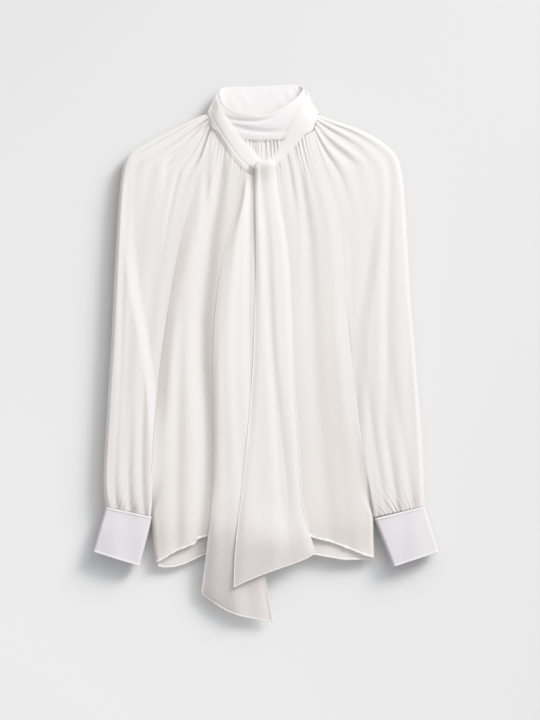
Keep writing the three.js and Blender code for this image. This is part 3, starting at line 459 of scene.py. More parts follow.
def sleeve_place(rows, creases, side):
    """Rolls a sleeve round: u runs from the body edge over the upper layer and the fold, and back underneath."""
    reach = len(rows) - 1

    def place(u, v):
        t = v * reach
        fx, fy, bx, by_, rise, shelf, low, full, gather = along(rows, t)
        ahead, behind = along(rows, np.minimum(t + 0.5, reach)), along(rows, np.maximum(t - 0.5, 0))
        tx, ty = ahead[2] - behind[2], ahead[3] - behind[3]
        length = np.hypot(tx, ty)
        gap = 0.35 - 1.0 * np.clip((t - UNDERARM) / 2, 0, 1) + 1.9 * into_cuff(t)
        ox, oy = side * np.abs(ty) / length * gap, -side * np.sign(ty) * tx / length * gap
        ax, ay = bx + ox, by_ + oy                        # body side of the upper layer
        cx, cy = bx + ox, by_ + rise + oy                 # body side of the lower layer
        over, below = np.hypot(fx - ax, fy - ay), np.hypot(fx - cx, fy - cy)
        open_ = apart(t)
        roll_a = 5.0 - 2.8 * open_ * (1 - into_cuff(t))
        roll_a, roll_o = np.minimum(roll_a, over * 0.2), np.minimum(SLEEVE_ROLL, over * 0.3)
        roll_u, roll_b = np.minimum(5.0, below * 0.3), np.minimum(4.0, below * 0.25)

        part = [np.clip((u - ROUND[k]) / (ROUND[k + 1] - ROUND[k]), 0, 1) for k in range(6)]
        quarter = math.pi / 2
        s_top = roll_a * (1 - np.cos(quarter * part[0])) + (over - roll_a - roll_o) * part[1]
        s_top = s_top + roll_o * np.sin(quarter * part[2])
        f = s_top / over

        # upper layer
        low = low + SHELF_LIFT[side] * (full - low)
        plain = low + (full - low) * ease(0, 0.5, f)
        stepped = low + (full - low) * ease_to(shelf - 0.11, np.minimum(shelf + 0.10, 0.97), f)
        top = plain + (stepped - plain) * ease(3.0, 10.0, t)
        for first, last, start, end, width, lift in creases:
            r = (t - first) / (last - first)
            here = ease(-0.3, 0.3, r) * (1 - ease(0.8, 1.4, r))
            top = top + lift * here * bell((f - (start + (end - start) * r)) / width)
        inside = ease(0, 0.12, f) * ease(0, 0.12, 1 - f)
        to_cuff = (1 - v) * SLEEVE_LENGTH
        fanned = f + 0.4 * (1 - f) * to_cuff / over
        fine = tucks(fanned + 0.13 * side, to_cuff, 16.0, 46) * (1 - 0.75 * ease(0.55, 0.85, f))
        head = np.sin(2 * math.pi * (4.5 * f + 0.05 * np.sin(8 * f)))
        head = head * gather * NECK_GATHER[side] * (1 - ease(7, 9, t))
        top = top + inside * (0.85 * fine + head)
        sway = np.sin(2 * math.pi * (3.1 * f + 0.2 * np.sin(0.45 * t + side)) + 0.5 * t)
        top = top + 0.5 * sway * ease(7, 10, t) * inside
        joined = SIDE_SEAM + (top - SIDE_SEAM) * np.sin(quarter * part[0])
        top_z = np.where(part[1] > 0, top, top + (joined - top) * open_)
        top_z = FOLD_EDGE + (top_z - FOLD_EDGE) * np.cos(quarter * part[2])

        # lower layer
        s_low = roll_u * (1 - np.cos(quarter * part[3])) + (below - roll_u - roll_b) * part[4]
        s_low = s_low + roll_b * np.sin(quarter * part[5])
        low_z = FOLD_EDGE * (1 - np.sin(quarter * part[3]))
        low_z = low_z + (SIDE_SEAM - 0.3) * (1 - np.cos(quarter * part[5])) * open_

        upper = u <= ROUND[3]
        ex, ey, gx, gy = (fx - ax) / over, (fy - ay) / over, (cx - fx) / below, (cy - fy) / below
        x = np.where(upper, ax + ex * s_top, fx + gx * s_low)
        y = np.where(upper, ay + ey * s_top, fy + gy * s_low)
        return x, y, np.where(upper, top_z, low_z) + 0.05

    return place


sleeve_crepe = crepe("sleeve_crepe", (0.915, 0.868, 0.858), (0.867, 0.815, 0.813), 0.57, streak=0.7)
sleeves = []
for side, rows, creases, word in ((-1, SLEEVE_LEFT, CREASES_LEFT, "left"),
                                  (1, SLEEVE_RIGHT, CREASES_RIGHT, "right")):
    sleeve = lay_sheet(f"sleeve_{word}_cloth", 150, 160, sleeve_place(rows, creases, side))
    give_wall(sleeve, CLOTH)
    sleeve.data.materials.append(sleeve_crepe)
    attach(sleeve, "root")
    sleeves.append(sleeve)
    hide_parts(f"sleeve_{word}")

# ---- Cuffs
# Deep bands of doubled, interlined crepe, closed round and pressed flat. They are stiffer, whiter and less sheer
# than the sleeves, with a thin pressed edge all round and a row of edge stitching.
# fold side top | body side top | fold side bottom | body side bottom
CUFF_LEFT = [[-244.1, 92.2], [-171.1, 76.7], [-264.3, 22.5], [-191.4, 0]]
CUFF_RIGHT = [[250.3, 93], [172.4, 74.1], [272.8, 22.5], [201.5, -1.6]]
CUFF_HEIGHT = (17.0, 18.5, 18.0)       # at the seam, in the middle, at the rim
CUFF_ROLL = 4.0                        # how wide its two pressed folds roll over
SEAM_GAP = 0.4                         # between the sleeve's end and the cuff


def cuff_place(corners, grow=0.0):
    """Takes a cuff round between its four corners; grow lifts the strips of edge stitching onto it."""
    (ftx, fty), (btx, bty), (flx, fly), (blx, bly) = corners
    length = math.hypot(flx - ftx, fly - fty)

    def place(u, v):
        t = SEAM_GAP / length + (1 - SEAM_GAP / length) * v
        ax, ay, fx, fy = btx + (blx - btx) * t, bty + (bly - bty) * t, ftx + (flx - ftx) * t, fty + (fly - fty) * t
        width = np.hypot(fx - ax, fy - ay)
        seam, middle, rim = CUFF_HEIGHT
        high = seam + (middle - seam) * ease(0, 0.5, v) + (rim - middle) * ease(0.55, 1, v) + grow
        quarter, roll = math.pi / 2, CUFF_ROLL
        edges = [0, 0.1, 0.45, 0.55, 0.62, 0.93, 1.0]
        p = [np.clip((u - edges[k]) / (edges[k + 1] - edges[k]), 0, 1) for k in range(6)]
        s = roll * (1 - np.cos(quarter * p[0])) + (width - 2 * roll) * p[1] + roll * np.sin(quarter * p[2])
        s = s - roll * (1 - np.cos(quarter * p[3])) - (width - 2 * roll) * p[4] - roll * np.sin(quarter * p[5])
        crown = 1.6 * (1 - np.sin(math.pi * np.clip(s / width, 0, 1)))
        pressed = 0.6 * np.sin(9 * s / width + 3 * v) + 0.5 * np.sin(4.1 * v + 2 + 2 * s / width)
        top = high - crown + pressed * np.sin(math.pi * np.clip(s / width, 0, 1))
        z = FOLD_EDGE + (top - FOLD_EDGE) * np.sin(quarter * p[0])
        z = np.where(p[2] > 0, FOLD_EDGE + (top - FOLD_EDGE) * np.cos(quarter * p[2]), z)
        z = np.where(p[3] > 0, FOLD_EDGE * (1 - np.sin(quarter * p[3])), z)
        z = np.where(p[5] > 0, FOLD_EDGE * (1 - np.cos(quarter * p[5])), z)
        return ax + (fx - ax) * s / width, ay + (fy - ay) * s / width, z + 0.05

    return place


cuff_cloth = crepe("cuff_cloth", (0.73, 0.688, 0.709), (0.70, 0.657, 0.683), 0.9, streak=0.15, grain=0.3)
cuff_edge = stitched("cuff_edge", (0.80, 0.762, 0.778), 0.95)
for corners, word in ((CUFF_LEFT, "left"), (CUFF_RIGHT, "right")):
    cuff = lay_sheet(f"cuff_{word}_cloth", 110, 40, cuff_place(corners))
    close_round(cuff)
    give_wall(cuff, 1.2)
    cuff.data.materials.append(cuff_cloth)
    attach(cuff, "root")
    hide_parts(f"cuff_{word}")
    for name, low, high in (("seam", 0.0, 0.05), ("rim", 0.955, 1.0)):
        place = cuff_place(corners, 0.12)
        edge = lay_sheet(f"cuff_{word}_{name}", 110, 4, lambda u, v, p=place: p(u, low + (high - low) * v))
        close_round(edge)
        give_wall(edge, 0.3)
        measure_uv(edge, 0.165, 0.0035)
        edge.data.materials.append(cuff_edge)
        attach(edge, "root")

# ---- Front panel
# One piece of crepe, gathered along the neckline into small uneven tucks and falling in soft folds: a deep one
# beside the tie's back tail, shallow ones towards the sides. The folds are lines down the cloth.
BODY_RISE = 17.0               # height of the front over the board
HEM_DROP = 3.5                 # how much lower it lies beside the tie at the hem
UNDER_COLLAR = 2.5             # how far its neckline reaches up under the collar
LAP = 1.6                      # its raglan edges lap this far over the sleeves' edges
NECK_FRONT = [
    [-79, 676.6], [-69.8, 669.3], [-54.2, 663.1],
    [-29.4, 658.8], [-1.6, 657.2], [26.4, 658.8],
    [52.7, 662.8], [68.2, 667.1], [77.5, 671.9],
]
HEM_FRONT = [
    [-163.5, 4.7], [-147.2, 15.5], [-134.8, 23.2], [-120.9, 28.4],
    [-106.3, 34.1], [-101.8, 41.9], [-88.8, 45.7], [-43.4, 54.2],
    [-1.6, 57.4], [41.9, 54.2], [72.9, 46.5], [84.6, 42.3],
    [102.3, 38.4], [124, 30.5], [143.8, 22.6], [169.7, 12.4],
]
# y | x | half width | rise
FOLDS = {
    "left_edge_ridge": [
        [660.3, -66.7, 9.3, 0], [567.3, -96.1, 10.8, 2], [443.3, -122.5, 12.4, 3], [319.3, -141.1, 14, 3.5],
        [195.3, -150.3, 15.5, 3.5], [71.3, -150.3, 15.5, 2.5], [9.3, -147.2, 15.5, 2],
    ],
    "left_deep_valley": [
        [660.3, -65.1, 7.8, -1.5], [598.3, -66.7, 9.3, -4], [567.3, -71.3, 10.8, -5], [505.3, -83.7, 14, -7],
        [443.3, -91.5, 15.5, -8], [381.3, -97.7, 15.5, -8.5], [319.3, -97.7, 15.5, -8.5], [257.3, -93, 15.5, -8.5],
        [195.3, -89.9, 15.5, -8.5], [133.3, -91.5, 15.5, -8], [71.3, -97.7, 14, -6.5], [24.8, -103.9, 14, -5],
    ],
    "left_short_valley": [
        [668.1, -85.2, 4.7, -1], [644.8, -86.8, 5.4, -2.5], [598.3, -88.4, 6.2, -2.5], [567.3, -88.4, 6.2, -2],
        [513.1, -93, 6.2, 0],
    ],
    "left_soft_valley": [
        [489.8, -110, 9.3, 0], [412.3, -127.1, 9.3, -1.5], [319.3, -130.2, 9.3, -2.2], [226.3, -131.8, 9.3, -2],
        [133.3, -133.3, 9.3, -1.5], [24.8, -133.3, 9.3, -1.5],
    ],
    "right_ridge": [
        [644.8, 85.2, 9.3, 0.3], [567.3, 96.1, 12.4, 1.2], [474.3, 108.5, 14, 1.5], [350.3, 113.2, 14, 1.8],
        [195.3, 128.7, 15.5, 1.8], [24.8, 144.2, 15.5, 1.2],
    ],
    "right_valley": [
        [652.6, 57.4, 4.7, -0.48], [621.6, 60.5, 6.2, -1.2], [567.3, 62, 7.8, -1.8], [505.3, 71.3, 9.3, -1.92],
        [412.3, 76, 12.4, -2.1], [319.3, 80.6, 12.4, -1.8], [195.3, 91.5, 14, -1.5], [24.8, 107, 14, -1.5],
    ],
    "right_short_valley": [
        [652.6, 40.3, 4.7, -0.48], [621.6, 41.9, 4.7, -1.2], [582.8, 46.5, 4.7, -1.32], [528.6, 54.2, 6.2, 0],
    ],
}


def body_top(x, y):
    """Height of the front panel's main form over a point, as in the solid but flatter on the right."""
    z = BODY_RISE - HEM_DROP * (1 - ease(10, 95, y)) * ease(45, 95, np.abs(x + 5))
    for line in FOLDS.values():
        fade = 1 - ease(line[0][0], line[0][0] + 14, y)
        z = z + fade * reading(line, y, 3) * bell((x - reading(line, y, 1)) / reading(line, y, 2))
    return z


def front_place(u, v, lift=0.0):
    """The front: its folds and tucks, and its edges let down onto the sleeves above and to the side seams below."""
    t, width, place = body_frame(v, 0, NECK_FRONT, HEM_FRONT)
    s = u * width
    side = np.minimum(s, width - s)
    outward = np.where(u < 0.5, -1, 1) * (1 - ease(0, 12, side)) * (LAP + 1.2 * apart(t))
    x, y = place(s)
    x = x + outward
    y = y + UNDER_COLLAR * (1 - ease(0, 0.012, v))
    depth = np.maximum(reading(NECK_FRONT, x * 0.78, 1) - y, 0)
    z = body_top(x, y) - 1.6 * bell((x - reading(FOLDS["left_edge_ridge"], y, 1)) / 20) * ease(0, 60, 640 - y)
    z = z - 5 * (1 - ease(0, 70, y)) * ease(30, 80, np.abs(x + 5))
    z = z + 1.35 * tucks(u, depth, 29, 34) * ease(2, 12, side)
    long_tucks = np.sin(2 * math.pi * (9.5 * u + 0.25 * np.sin(9 * u))) * (0.6 + 0.4 * np.sin(17 * u + 1))
    z = z + 1.0 * long_tucks * np.exp(-((depth / 120) ** 1.5)) * ease(3, 16, side)
    swing = np.sin(2 * math.pi * (7.3 * u + 0.12 * np.sin(5 * v + 3 * u)) + 0.8)
    z = z + 0.35 * swing * ease(0.1, 0.4, v) * ease(3, 16, side) * (1 - 0.7 * bell((x + 5) / 55))
    near = side < 24
    edge_x, edge_y = place(np.where(u < 0.5, 0.0, 1.0) * width)
    below = np.zeros(len(x))
    out = np.where(u < 0.5, -1, 1) * (1.3 + 2.2 * apart(t))
    joined = into_cuff(t)
    below[near] = heights_below((edge_x + out)[near], edge_y[near], sleeves) - 0.2
    below = below + (SIDE_SEAM - below) * joined
    turn = 1 - (1 - np.clip(side / (22 - 17 * joined), 0, 1)) ** 2
    z = np.where(near, below + (z - below) * turn, z)
    return x, y, z + lift


front = lay_sheet("front_panel_cloth", 200, 170, lambda u, v: front_place(u, v**1.25))
give_wall(front, CLOTH)
front.data.materials.append(body_crepe)
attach(front, "root")
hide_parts("front_panel")

front_hem = rolled_hem("front_hem", lambda w: front_place(*along_hem(w), lift=-0.5), length=340, size=3.2,
                       pucker=0.4, material=hem_crepe)

# ---- Collar
# A doubled stand that closes at the centre back. It lies on its back, so its mouth opens towards the top of the
# photograph and the inside of its back shows; the front sags into soft folds along it.
# neck seam x, y, z | top edge x, y, z
COLLAR = [
    [-1.6, 701.5, 0, -1.6, 744.8, 0],
    [-35.6, 701.5, 0, -31, 744, 0],
    [-60.5, 701.5, 0, -52.7, 743.5, 0.2],
    [-77.5, 701.5, 1.5, -63.6, 741.5, 3],
    [-83.1, 697.2, 8, -67.6, 735, 11],
    [-82.2, 688.2, 14, -66, 726.2, 19],
    [-76.9, 676.7, 17.5, -61.1, 716.1, 25],
    [-63.6, 667.7, 18, -48.1, 705.6, 28],
    [-35.6, 660.9, 18.3, -27.9, 699.1, 30],
    [-1.6, 658.1, 18.5, -5.4, 696.3, 31],
    [32.6, 660.6, 18.5, 14, 700, 30.5],
    [60.5, 666.5, 18, 34.9, 711.5, 29],
    [75, 673.3, 17.5, 52.1, 724.8, 25],
    [80.6, 686.6, 14, 59.5, 733.3, 19],
    [81.2, 697.2, 8, 62.9, 740.3, 11],
    [76, 701.5, 1.5, 58, 744.9, 3],
    [58.9, 701.5, 0, 48.1, 747.1, 0.2],
    [32.6, 701.5, 0, 26.4, 746.2, 0],
    [-1.1, 701.5, 0, -1.1, 744.9, 0],
]
# height up the stand (0 seam, 1 edge) | half width | rise | slant | first row
COLLAR_FOLDS = [[0.38, 0.11, -2.1, 0.05, 7.3], [0.80, 0.08, -1.7, -0.075, 4]]
COLLAR_WALL = 1.0              # shown thickness of the doubled stand
FRONT_MIDDLE = 8.95            # row of the centre front, where a small pressed mark shows
BACK_GAP = 0.2325              # half the gap between the solid's two ends at the centre back, which closes here


def collar_place(u, v):
    """The stand: u runs round the neck from the centre back, v down from the top edge to the neck seam."""
    r, t = 1 - v, u * (len(COLLAR) - 1)
    lx, ly, lz, hx, hy, hz = along(COLLAR, t)
    facing = ease(4.5, 7.5, t) * (1 - ease(10.5, 13.5, t))
    z = lz + (hz - lz) * r
    for where, width, rise, slant, start in COLLAR_FOLDS:
        shown = facing * ease(start - 0.7, start + 0.7, t) * (1 - 0.85 * ease(9.3, 10.6, t))
        z = z + rise * shown * bell((r - where - slant * (9 - t)) / width)
    z = z + 0.3 * facing * np.sin(2.3 * t) * np.sin(math.pi * r)
    lining = 1 - ease(2.8, 4.2, np.minimum(t, 18 - t))
    crumple = np.sin(4.1 * t + 5 * r) + 0.7 * np.sin(7.3 * t - 9 * r + 1) + 0.5 * np.sin(13 * t + 6 * r + 2)
    z = z + 1.1 * lining * (1 + crumple / 2.2) * np.sin(math.pi * r) * ease(0, 0.8, np.minimum(t, 18 - t))
    z = z - 0.8 * bell((t - FRONT_MIDDLE) / 0.08) * ease(0.6, 1.0, r)
    notch = 1.8 * bell((t - FRONT_MIDDLE) / 0.12) * ease(0.8, 1.0, r)
    x, y = lx + (hx - lx) * r, ly + (hy - ly) * r - notch
    first, last = 1 - ease(0, 0.4, t), ease(17.6, 18, t)
    x, y = x + BACK_GAP * (first - last), y + (0.075 * first - 0.0775 * last) * r
    y = y - 9 * lining * (1 - r)
    z = np.where(lining > 0, np.maximum(z, (heights_below(x, y, [back]) + 0.4) * lining), z)
    on_front = heights_below(x, y, [front]) + 0.5
    carried_here = (t > 4) & (t < 14) & (on_front > 1)
    z = np.where(carried_here, on_front + (np.maximum(z, on_front) - on_front) * ease(-0.1, 0.22, r), z)
    return x, y, np.maximum(z, 0.05)


collar_cloth = crepe("collar_cloth", (0.925, 0.885, 0.888), (0.87, 0.83, 0.84), 0.78, streak=0.2)
collar = lay_sheet("collar_cloth", 150, 50, collar_place)
close_round(collar)
give_wall(collar, COLLAR_WALL)
collar.data.materials.append(collar_cloth)
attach(collar, "root")
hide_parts("collar_band")

# ---- Tie: legs and knot
# From each side of the collar a doubled strip of crepe comes round to the front, rolls softly and crosses the
# other once. The left leg passes under the head of the front tail, whose top edge folds over the crossing.
# lower edge x, y, z | upper edge x, y, z | height between them
LEG_LEFT = [
    [-88, 701.8, 4.5, -71.9, 734.7, 5.5, 5.2],
    [-87.7, 700, 13, -71, 731.6, 16, 15],
    [-84.6, 690.5, 19, -67.9, 722.6, 25, 24],
    [-77.5, 677.4, 21.5, -61.7, 707.6, 29, 29],
    [-63.6, 655.6, 21, -49.6, 685.1, 28, 31],
    [-47.3, 633.2, 21, -34.1, 664.2, 24.5, 31.5],
    [-32.6, 616.4, 21.5, -18.6, 648.7, 24, 33],
    [-20.2, 609.8, 22.5, -8.5, 636.3, 26, 33],
    [-10.1, 609.8, 23.5, -3.1, 629.3, 26, 32.5],
]
LEG_RIGHT = [
    [88.4, 701.5, 4.5, 68.2, 736.6, 5.5, 5.2],
    [88, 699.7, 13, 67.6, 734.1, 16, 15],
    [84.6, 692.1, 19, 63.6, 727.6, 25, 24],
    [75.6, 679.5, 21.5, 53.6, 709.1, 30, 29],
    [60.5, 661.5, 21.5, 42.6, 687.4, 29, 31],
    [46.5, 646, 21.2, 33.5, 667.3, 24.5, 31],
    [33.3, 631.5, 21.2, 24.2, 649.8, 23.5, 30.5],
    [22.5, 621.2, 22, 14.9, 636.3, 24, 30],
    [13.2, 615.4, 23, 7, 628.5, 25, 29.5],
]


def leg_place(rows, pleats, soft):
    """A strip from the collar's side, round as a roll there, then laid over front and collar with its pleat."""
    def place(u, v):
        lx, ly, lz, hx, hy, hz, crown = along(rows, v * (len(rows) - 1))
        x, y = lx + (hx - lx) * u, ly + (hy - ly) * u
        below, bulge = heights_below(x, y, [front, collar, *sleeves]), 1 - np.abs(2 * u - 1) ** 2.4
        round_side = lz + (hz - lz) * u + (crown - (lz + hz) / 2) * bulge
        even = carried(u, v, np.where(v < 0.12, 0, below), 2, 4)
        below = np.maximum(below, (even - 1.5) * ease(0.08, 0.2, v))
        z = even + 1.2 + soft * bulge
        for where, width, depth in pleats:
            z = z - depth * bell((u - where - 0.08 * np.sin(3 * v)) / width)
        z = round_side + (z - round_side) * ease(0.08, 0.3, v)
        edge = np.minimum(u, 1 - u) * np.hypot(hx - lx, hy - ly)
        return x, y, rest_edges(z, below, edge, 8, ease(0.05, 0.25, v))

    return place


tie_crepe = crepe("tie_crepe", (0.95, 0.912, 0.875), (0.92, 0.878, 0.842), 0.66)
# pleats: place across, half width, depth | how high the strip bulges
for rows, pleats, soft, word in ((LEG_LEFT, [(0.2, 0.06, 0.6)], 1.9, "left"),
                                 (LEG_RIGHT, [(0.55, 0.1, 0.4)], 1.8, "right")):
    leg = lay_sheet(f"tie_leg_{word}_cloth", 44, 90, leg_place(rows, pleats, soft))
    give_wall(leg, 1.0)
    leg.data.materials.append(tie_crepe)
    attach(leg, "root")
    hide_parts(f"tie_leg_{word}")

# the crossing inside the knot: a crushed roll of both legs
KNOT_MIDDLE = (-7.0, 620.2, 22.0)
KNOT_RADII = (12.5, 6.5, 4.2)
bpy.ops.object.select_all(action="DESELECT")
bpy.ops.mesh.primitive_uv_sphere_add(segments=48, ring_count=24, radius=1)
knot = bpy.context.object
knot.name = knot.data.name = "tie_knot_cloth"
co = np.empty(len(knot.data.vertices) * 3)
knot.data.vertices.foreach_get("co", co)
co = co.reshape(-1, 3)
waist = 1 - 0.18 * bell(co[:, 0] / 0.25) + 0.04 * np.sin(9 * co[:, 1] + 3 * co[:, 2])
shape = np.stack([KNOT_MIDDLE[0] - MIDDLE[0] + KNOT_RADII[0] * co[:, 0],
                  KNOT_MIDDLE[1] - MIDDLE[1] + KNOT_RADII[1] * co[:, 1] * waist,
                  KNOT_MIDDLE[2] + KNOT_RADII[2] * co[:, 2] * waist], 1) / 1000
knot.data.vertices.foreach_set("co", shape.astype(np.float32).ravel())
knot.data.update()
bpy.ops.object.shade_smooth()
knot.data.materials.append(tie_crepe)
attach(knot, "root")
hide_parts("tie_knot")

# ---- Tie: back tail
# The longer free end, single cloth with a narrow rolled hem, comes out under the knot as a bunched fold and
# opens downwards; below the body's hem it falls towards the board and its end is cut in a slant.
# left edge x, y | right edge x, y | height left, at the ridge, right | place of the ridge
TAIL_BACK = [
    [-28.7, 609.9, -14.7, 603.7, 26, 30, 26, 0.5],
    [-31, 601.4, -17.1, 596.8, 25.5, 32, 26, 0.5],
    [-33.3, 590.6, -19.2, 587.5, 23.5, 33, 25, 0.5],
    [-37.8, 567.3, -20.2, 565.8, 21.5, 32, 23, 0.52],
    [-46.5, 536.3, -20.8, 534.8, 20.5, 31, 21.5, 0.55],
    [-55.8, 505.3, -21.1, 503.8, 20, 30, 21, 0.58],
    [-68.2, 443.3, -21.4, 441.8, 19.8, 29, 20.5, 0.55],
    [-75.6, 381.3, -21.7, 379.8, 19.8, 28, 20.3, 0.5],
    [-78.1, 319.3, -21.1, 319.3, 19.8, 27, 20, 0.42],
    [-77.8, 257.3, -18.6, 257.3, 19.8, 25.5, 19.8, 0.32],
    [-77.2, 195.3, -13.2, 193.8, 19.8, 24.5, 19.6, 0.27],
    [-78.1, 133.3, -7, 130.2, 19.6, 24, 19.6, 0.25],
    [-82.8, 71.3, -1.6, 65.1, 18.5, 23.5, 19.4, 0.27],
    [-89, 17.1, 2.3, 6.2, 14.5, 20.5, 16, 0.3],
    [-93, -21.7, 6.2, -37.2, 9.5, 15.5, 11, 0.32],
    [-95.3, -38.8, 10.8, -62, 6, 12, 8, 0.34],
    [-94.2, -44.2, 14.7, -88.4, 4, 9, 4.5, 0.36],
]
END_CURVE = 14                 # how far the slanted end curves down
LAID = 0.35                    # how clear of the cloth below an edge lies


def tail_back_place(u, v, lift=0.0):
    """The lower tail: one bunched ridge that opens downwards, laid on the front as far as the body's hem."""
    lx, ly, rx, ry, lz, mz, rz, ridge = along(TAIL_BACK, v * (len(TAIL_BACK) - 1))
    ridge = ridge - 0.16 * ease(0.15, 0.32, v) * (1 - ease(0.5, 0.62, v))
    away = np.where(u < ridge, ridge, 1 - ridge)
    hump = np.clip(np.cos(math.pi / 2 * (u - ridge) / away), 0, 1)
    fold = (mz - (lz + (rz - lz) * ridge)) * hump**1.5
    ripple = np.sin(2 * math.pi * (2.6 * u + 0.1 * np.sin(4 * v)))
    fold = fold + 0.7 * ripple * ease(0.1, 0.4, v) * ease(0, 0.1, u) * ease(0, 0.1, 1 - u)
    drop = END_CURVE * np.sin(math.pi * np.clip(u, 0, 1)) ** 1.2 * ease(0.72, 1, v) * (1 - 0.6 * u)
    x, y = lx + (rx - lx) * u, ly + (ry - ly) * u - drop
    edge, on_body = np.minimum(u, 1 - u) * np.hypot(rx - lx, ry - ly), ease(25, 90, y)
    below = heights_below(x, y, [front])
    z = lz + (rz - lz) * u + fold
    z = z + (carried(u, v, below) + 0.8 + 0.45 * fold - z) * on_body
    return x, y, rest_edges(z, below, edge, 10, on_body, lift=LAID) + lift


# the tails' low colour is painted shade below the body's hem, for the shadowed backdrop seen through their single
# layer
tail_crepe = crepe("tail_crepe", (0.935, 0.889, 0.85), (0.90, 0.849, 0.817), 0.64, streak=0.7,
                   low=(0.775, 0.715, 0.712))
back_tail = lay_sheet("tail_back_cloth", 60, 200, tail_back_place)
give_wall(back_tail, CLOTH)
back_tail.data.materials.append(tail_crepe)
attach(back_tail, "root")
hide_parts("tie_tail_back")

tail_hem_crepe = stitched("tail_hem_crepe", (0.985, 0.95, 0.925), 0.6)
HEM_SINK = -0.4                # the hem's tube lies a little into the cloth


def tail_hems(name, place, width, length, starts):
    """Narrow rolled hems down both edges of a tail, from where they show, and across its end."""
    def side_edge(across, start):
        return lambda w: place(np.full_like(w, across), start + (0.997 - start) * w, HEM_SINK)

    left, right = starts
    runs = [("left", side_edge(0.004, left), (1 - left) * length, 90),
            ("right", side_edge(0.996, right), (1 - right) * length, 90),
            ("end", lambda w: place(0.004 + 0.992 * w, np.full_like(w, 0.998), HEM_SINK), width, 0)]
    return [rolled_hem(f"{name}_{word}", edge, run, size=1.6, pucker=0.15, material=tail_hem_crepe,
                       fade=fade) for word, edge, run, fade in runs]


back_tail_hems = tail_hems("tail_back_hem", tail_back_place, 112, 690, (0.78, 0.8))

# ---- Tie: front tail
# The upper free end, single cloth with a narrow rolled hem. It folds over the knot, falls with one long trough
# down it, widens and ends in a slant; from the waist down it lies over the back tail.
# left edge x, y | right edge x, y | height left, middle, right | place and depth of the trough
TAIL_FRONT = [
    [-9.6, 627.9, 18, 628.1, 34, 36, 33, 0.45, 0],
    [-11.5, 624.6, 19.5, 624.6, 37, 39.5, 37, 0.45, 0],
    [-11.8, 616.9, 20.5, 616.9, 39, 42, 39, 0.4, 0.6],
    [-12.1, 606.1, 20.8, 604.5, 36, 40.5, 36.5, 0.38, 1.4],
    [-12.4, 590.6, 22.6, 589, 29.5, 36, 31, 0.38, 2],
    [-12.1, 567.3, 26, 565.8, 25, 31, 26.5, 0.38, 3],
    [-11.8, 536.3, 31.6, 534.8, 22.5, 28.5, 23.5, 0.38, 4],
    [-11.6, 497.6, 37.8, 496, 21.5, 27.5, 22, 0.38, 4.6],
    [-11.6, 443.3, 42.6, 441.8, 21.5, 27, 21.5, 0.38, 4.8],
    [-13.2, 381.3, 45, 379.8, 21.5, 27, 21.5, 0.42, 4.8],
    [-15.2, 319.3, 47.3, 317.8, 22, 27, 21.5, 0.48, 4.6],
    [-19.4, 257.3, 50.4, 257.3, 23.5, 27.5, 21.5, 0.56, 4.4],
    [-24.8, 195.3, 55, 196.8, 25, 28, 21.5, 0.62, 4.2],
    [-31, 133.3, 58.4, 138, 26, 28, 21.5, 0.68, 3.8],
    [-36.4, 86.8, 62, 94.5, 26.5, 28, 21.5, 0.7, 3],
    [-41.1, 45, 71.9, 51.1, 25.5, 27, 20.5, 0.7, 2.4],
    [-44, 9.3, 78.3, 31, 23.5, 25, 19, 0.66, 2],
    [-45.6, -34.1, 81.4, 20.2, 20, 22, 17.5, 0.6, 1.5],
]
# place across the slanted end | how far it lies below a straight cut
TAIL_FRONT_END = [
    [0, 0], [0.14, -1.6], [0.3, -1.9], [0.46, -0.9], [0.62, 0.6], [0.77, 2.2], [0.88, 2.2], [1, 0],
]
HEAD_SINK = 8                  # the head is drawn down onto the knot,
HEAD_TURN = 13                 # its very end turns in over the legs,
HEAD_SIDES = 6                 # and its sides curve down
EDGE_STAND = 2.6               # how far the left edge stands off the body in its upper half, over a dark gap


def tail_front_place(u, v, lift=0.0):
    """The upper tail: over the knot, then down the body with one long trough, its upper left edge standing off."""
    lx, ly, rx, ry, lz, mz, rz, trough, depth = along(TAIL_FRONT, v * (len(TAIL_FRONT) - 1))
    end = reading(TAIL_FRONT_END, u, 1) * ease(0.75, 1, v)
    lower = ease(0.4, 0.6, v)
    depth = depth * (0.4 + 0.6 * ease(0.12, 0.4, v) + 0.25 * lower)
    fold = (mz - (lz + rz) / 2) * np.clip(4 * u * (1 - u), 0, 1) ** 0.7
    fold = fold - depth * bell((u - trough) / (0.15 - 0.025 * lower))
    ripple = np.sin(2 * math.pi * (2.2 * u + 0.15 * np.sin(5 * v)) + 1)
    fold = fold + 0.45 * ripple * ease(0.15, 0.4, v) * ease(0, 0.1, u) * ease(0, 0.1, 1 - u)
    rounded = 4 * np.abs(2 * u - 1) ** 3 * (1 - ease(0, 0.02, v))
    x, y = lx + (rx - lx) * u, ly + (ry - ly) * u - end - rounded
    edge = np.minimum(u, 1 - u) * np.hypot(rx - lx, ry - ly)
    on_body = ease(25, 90, y) * ease(0.04, 0.28, v)
    loose = (1 - ease(0.1, 0.3, u)) * ease(0.06, 0.14, v) * (1 - ease(0.35, 0.55, v))
    below = heights_below(x, y, [front, back_tail])
    z = lz + (rz - lz) * u + fold
    z = z - HEAD_SINK * (1 - ease(0.1, 0.3, v)) - HEAD_TURN * (1 - ease(0, 0.026, v)) ** 2
    z = z - HEAD_SIDES * np.abs(2 * u - 1) ** 4 * (1 - ease(0.03, 0.12, v))
    z = z + (carried(u, v, below) + 0.8 + 0.6 * fold - z) * on_body
    z = rest_edges(z + EDGE_STAND * loose, below, edge, 12, on_body * (1 - 0.8 * loose), lift=LAID)
    return x, y, z + lift


front_tail = lay_sheet("tail_front_cloth", 60, 200, tail_front_place)
give_wall(front_tail, CLOTH)
front_tail.data.materials.append(tail_crepe)
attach(front_tail, "root")
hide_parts("tie_tail_front")
front_tail_hems = tail_hems("tail_front_hem", tail_front_place, 138, 640, (0.42, 0.5))

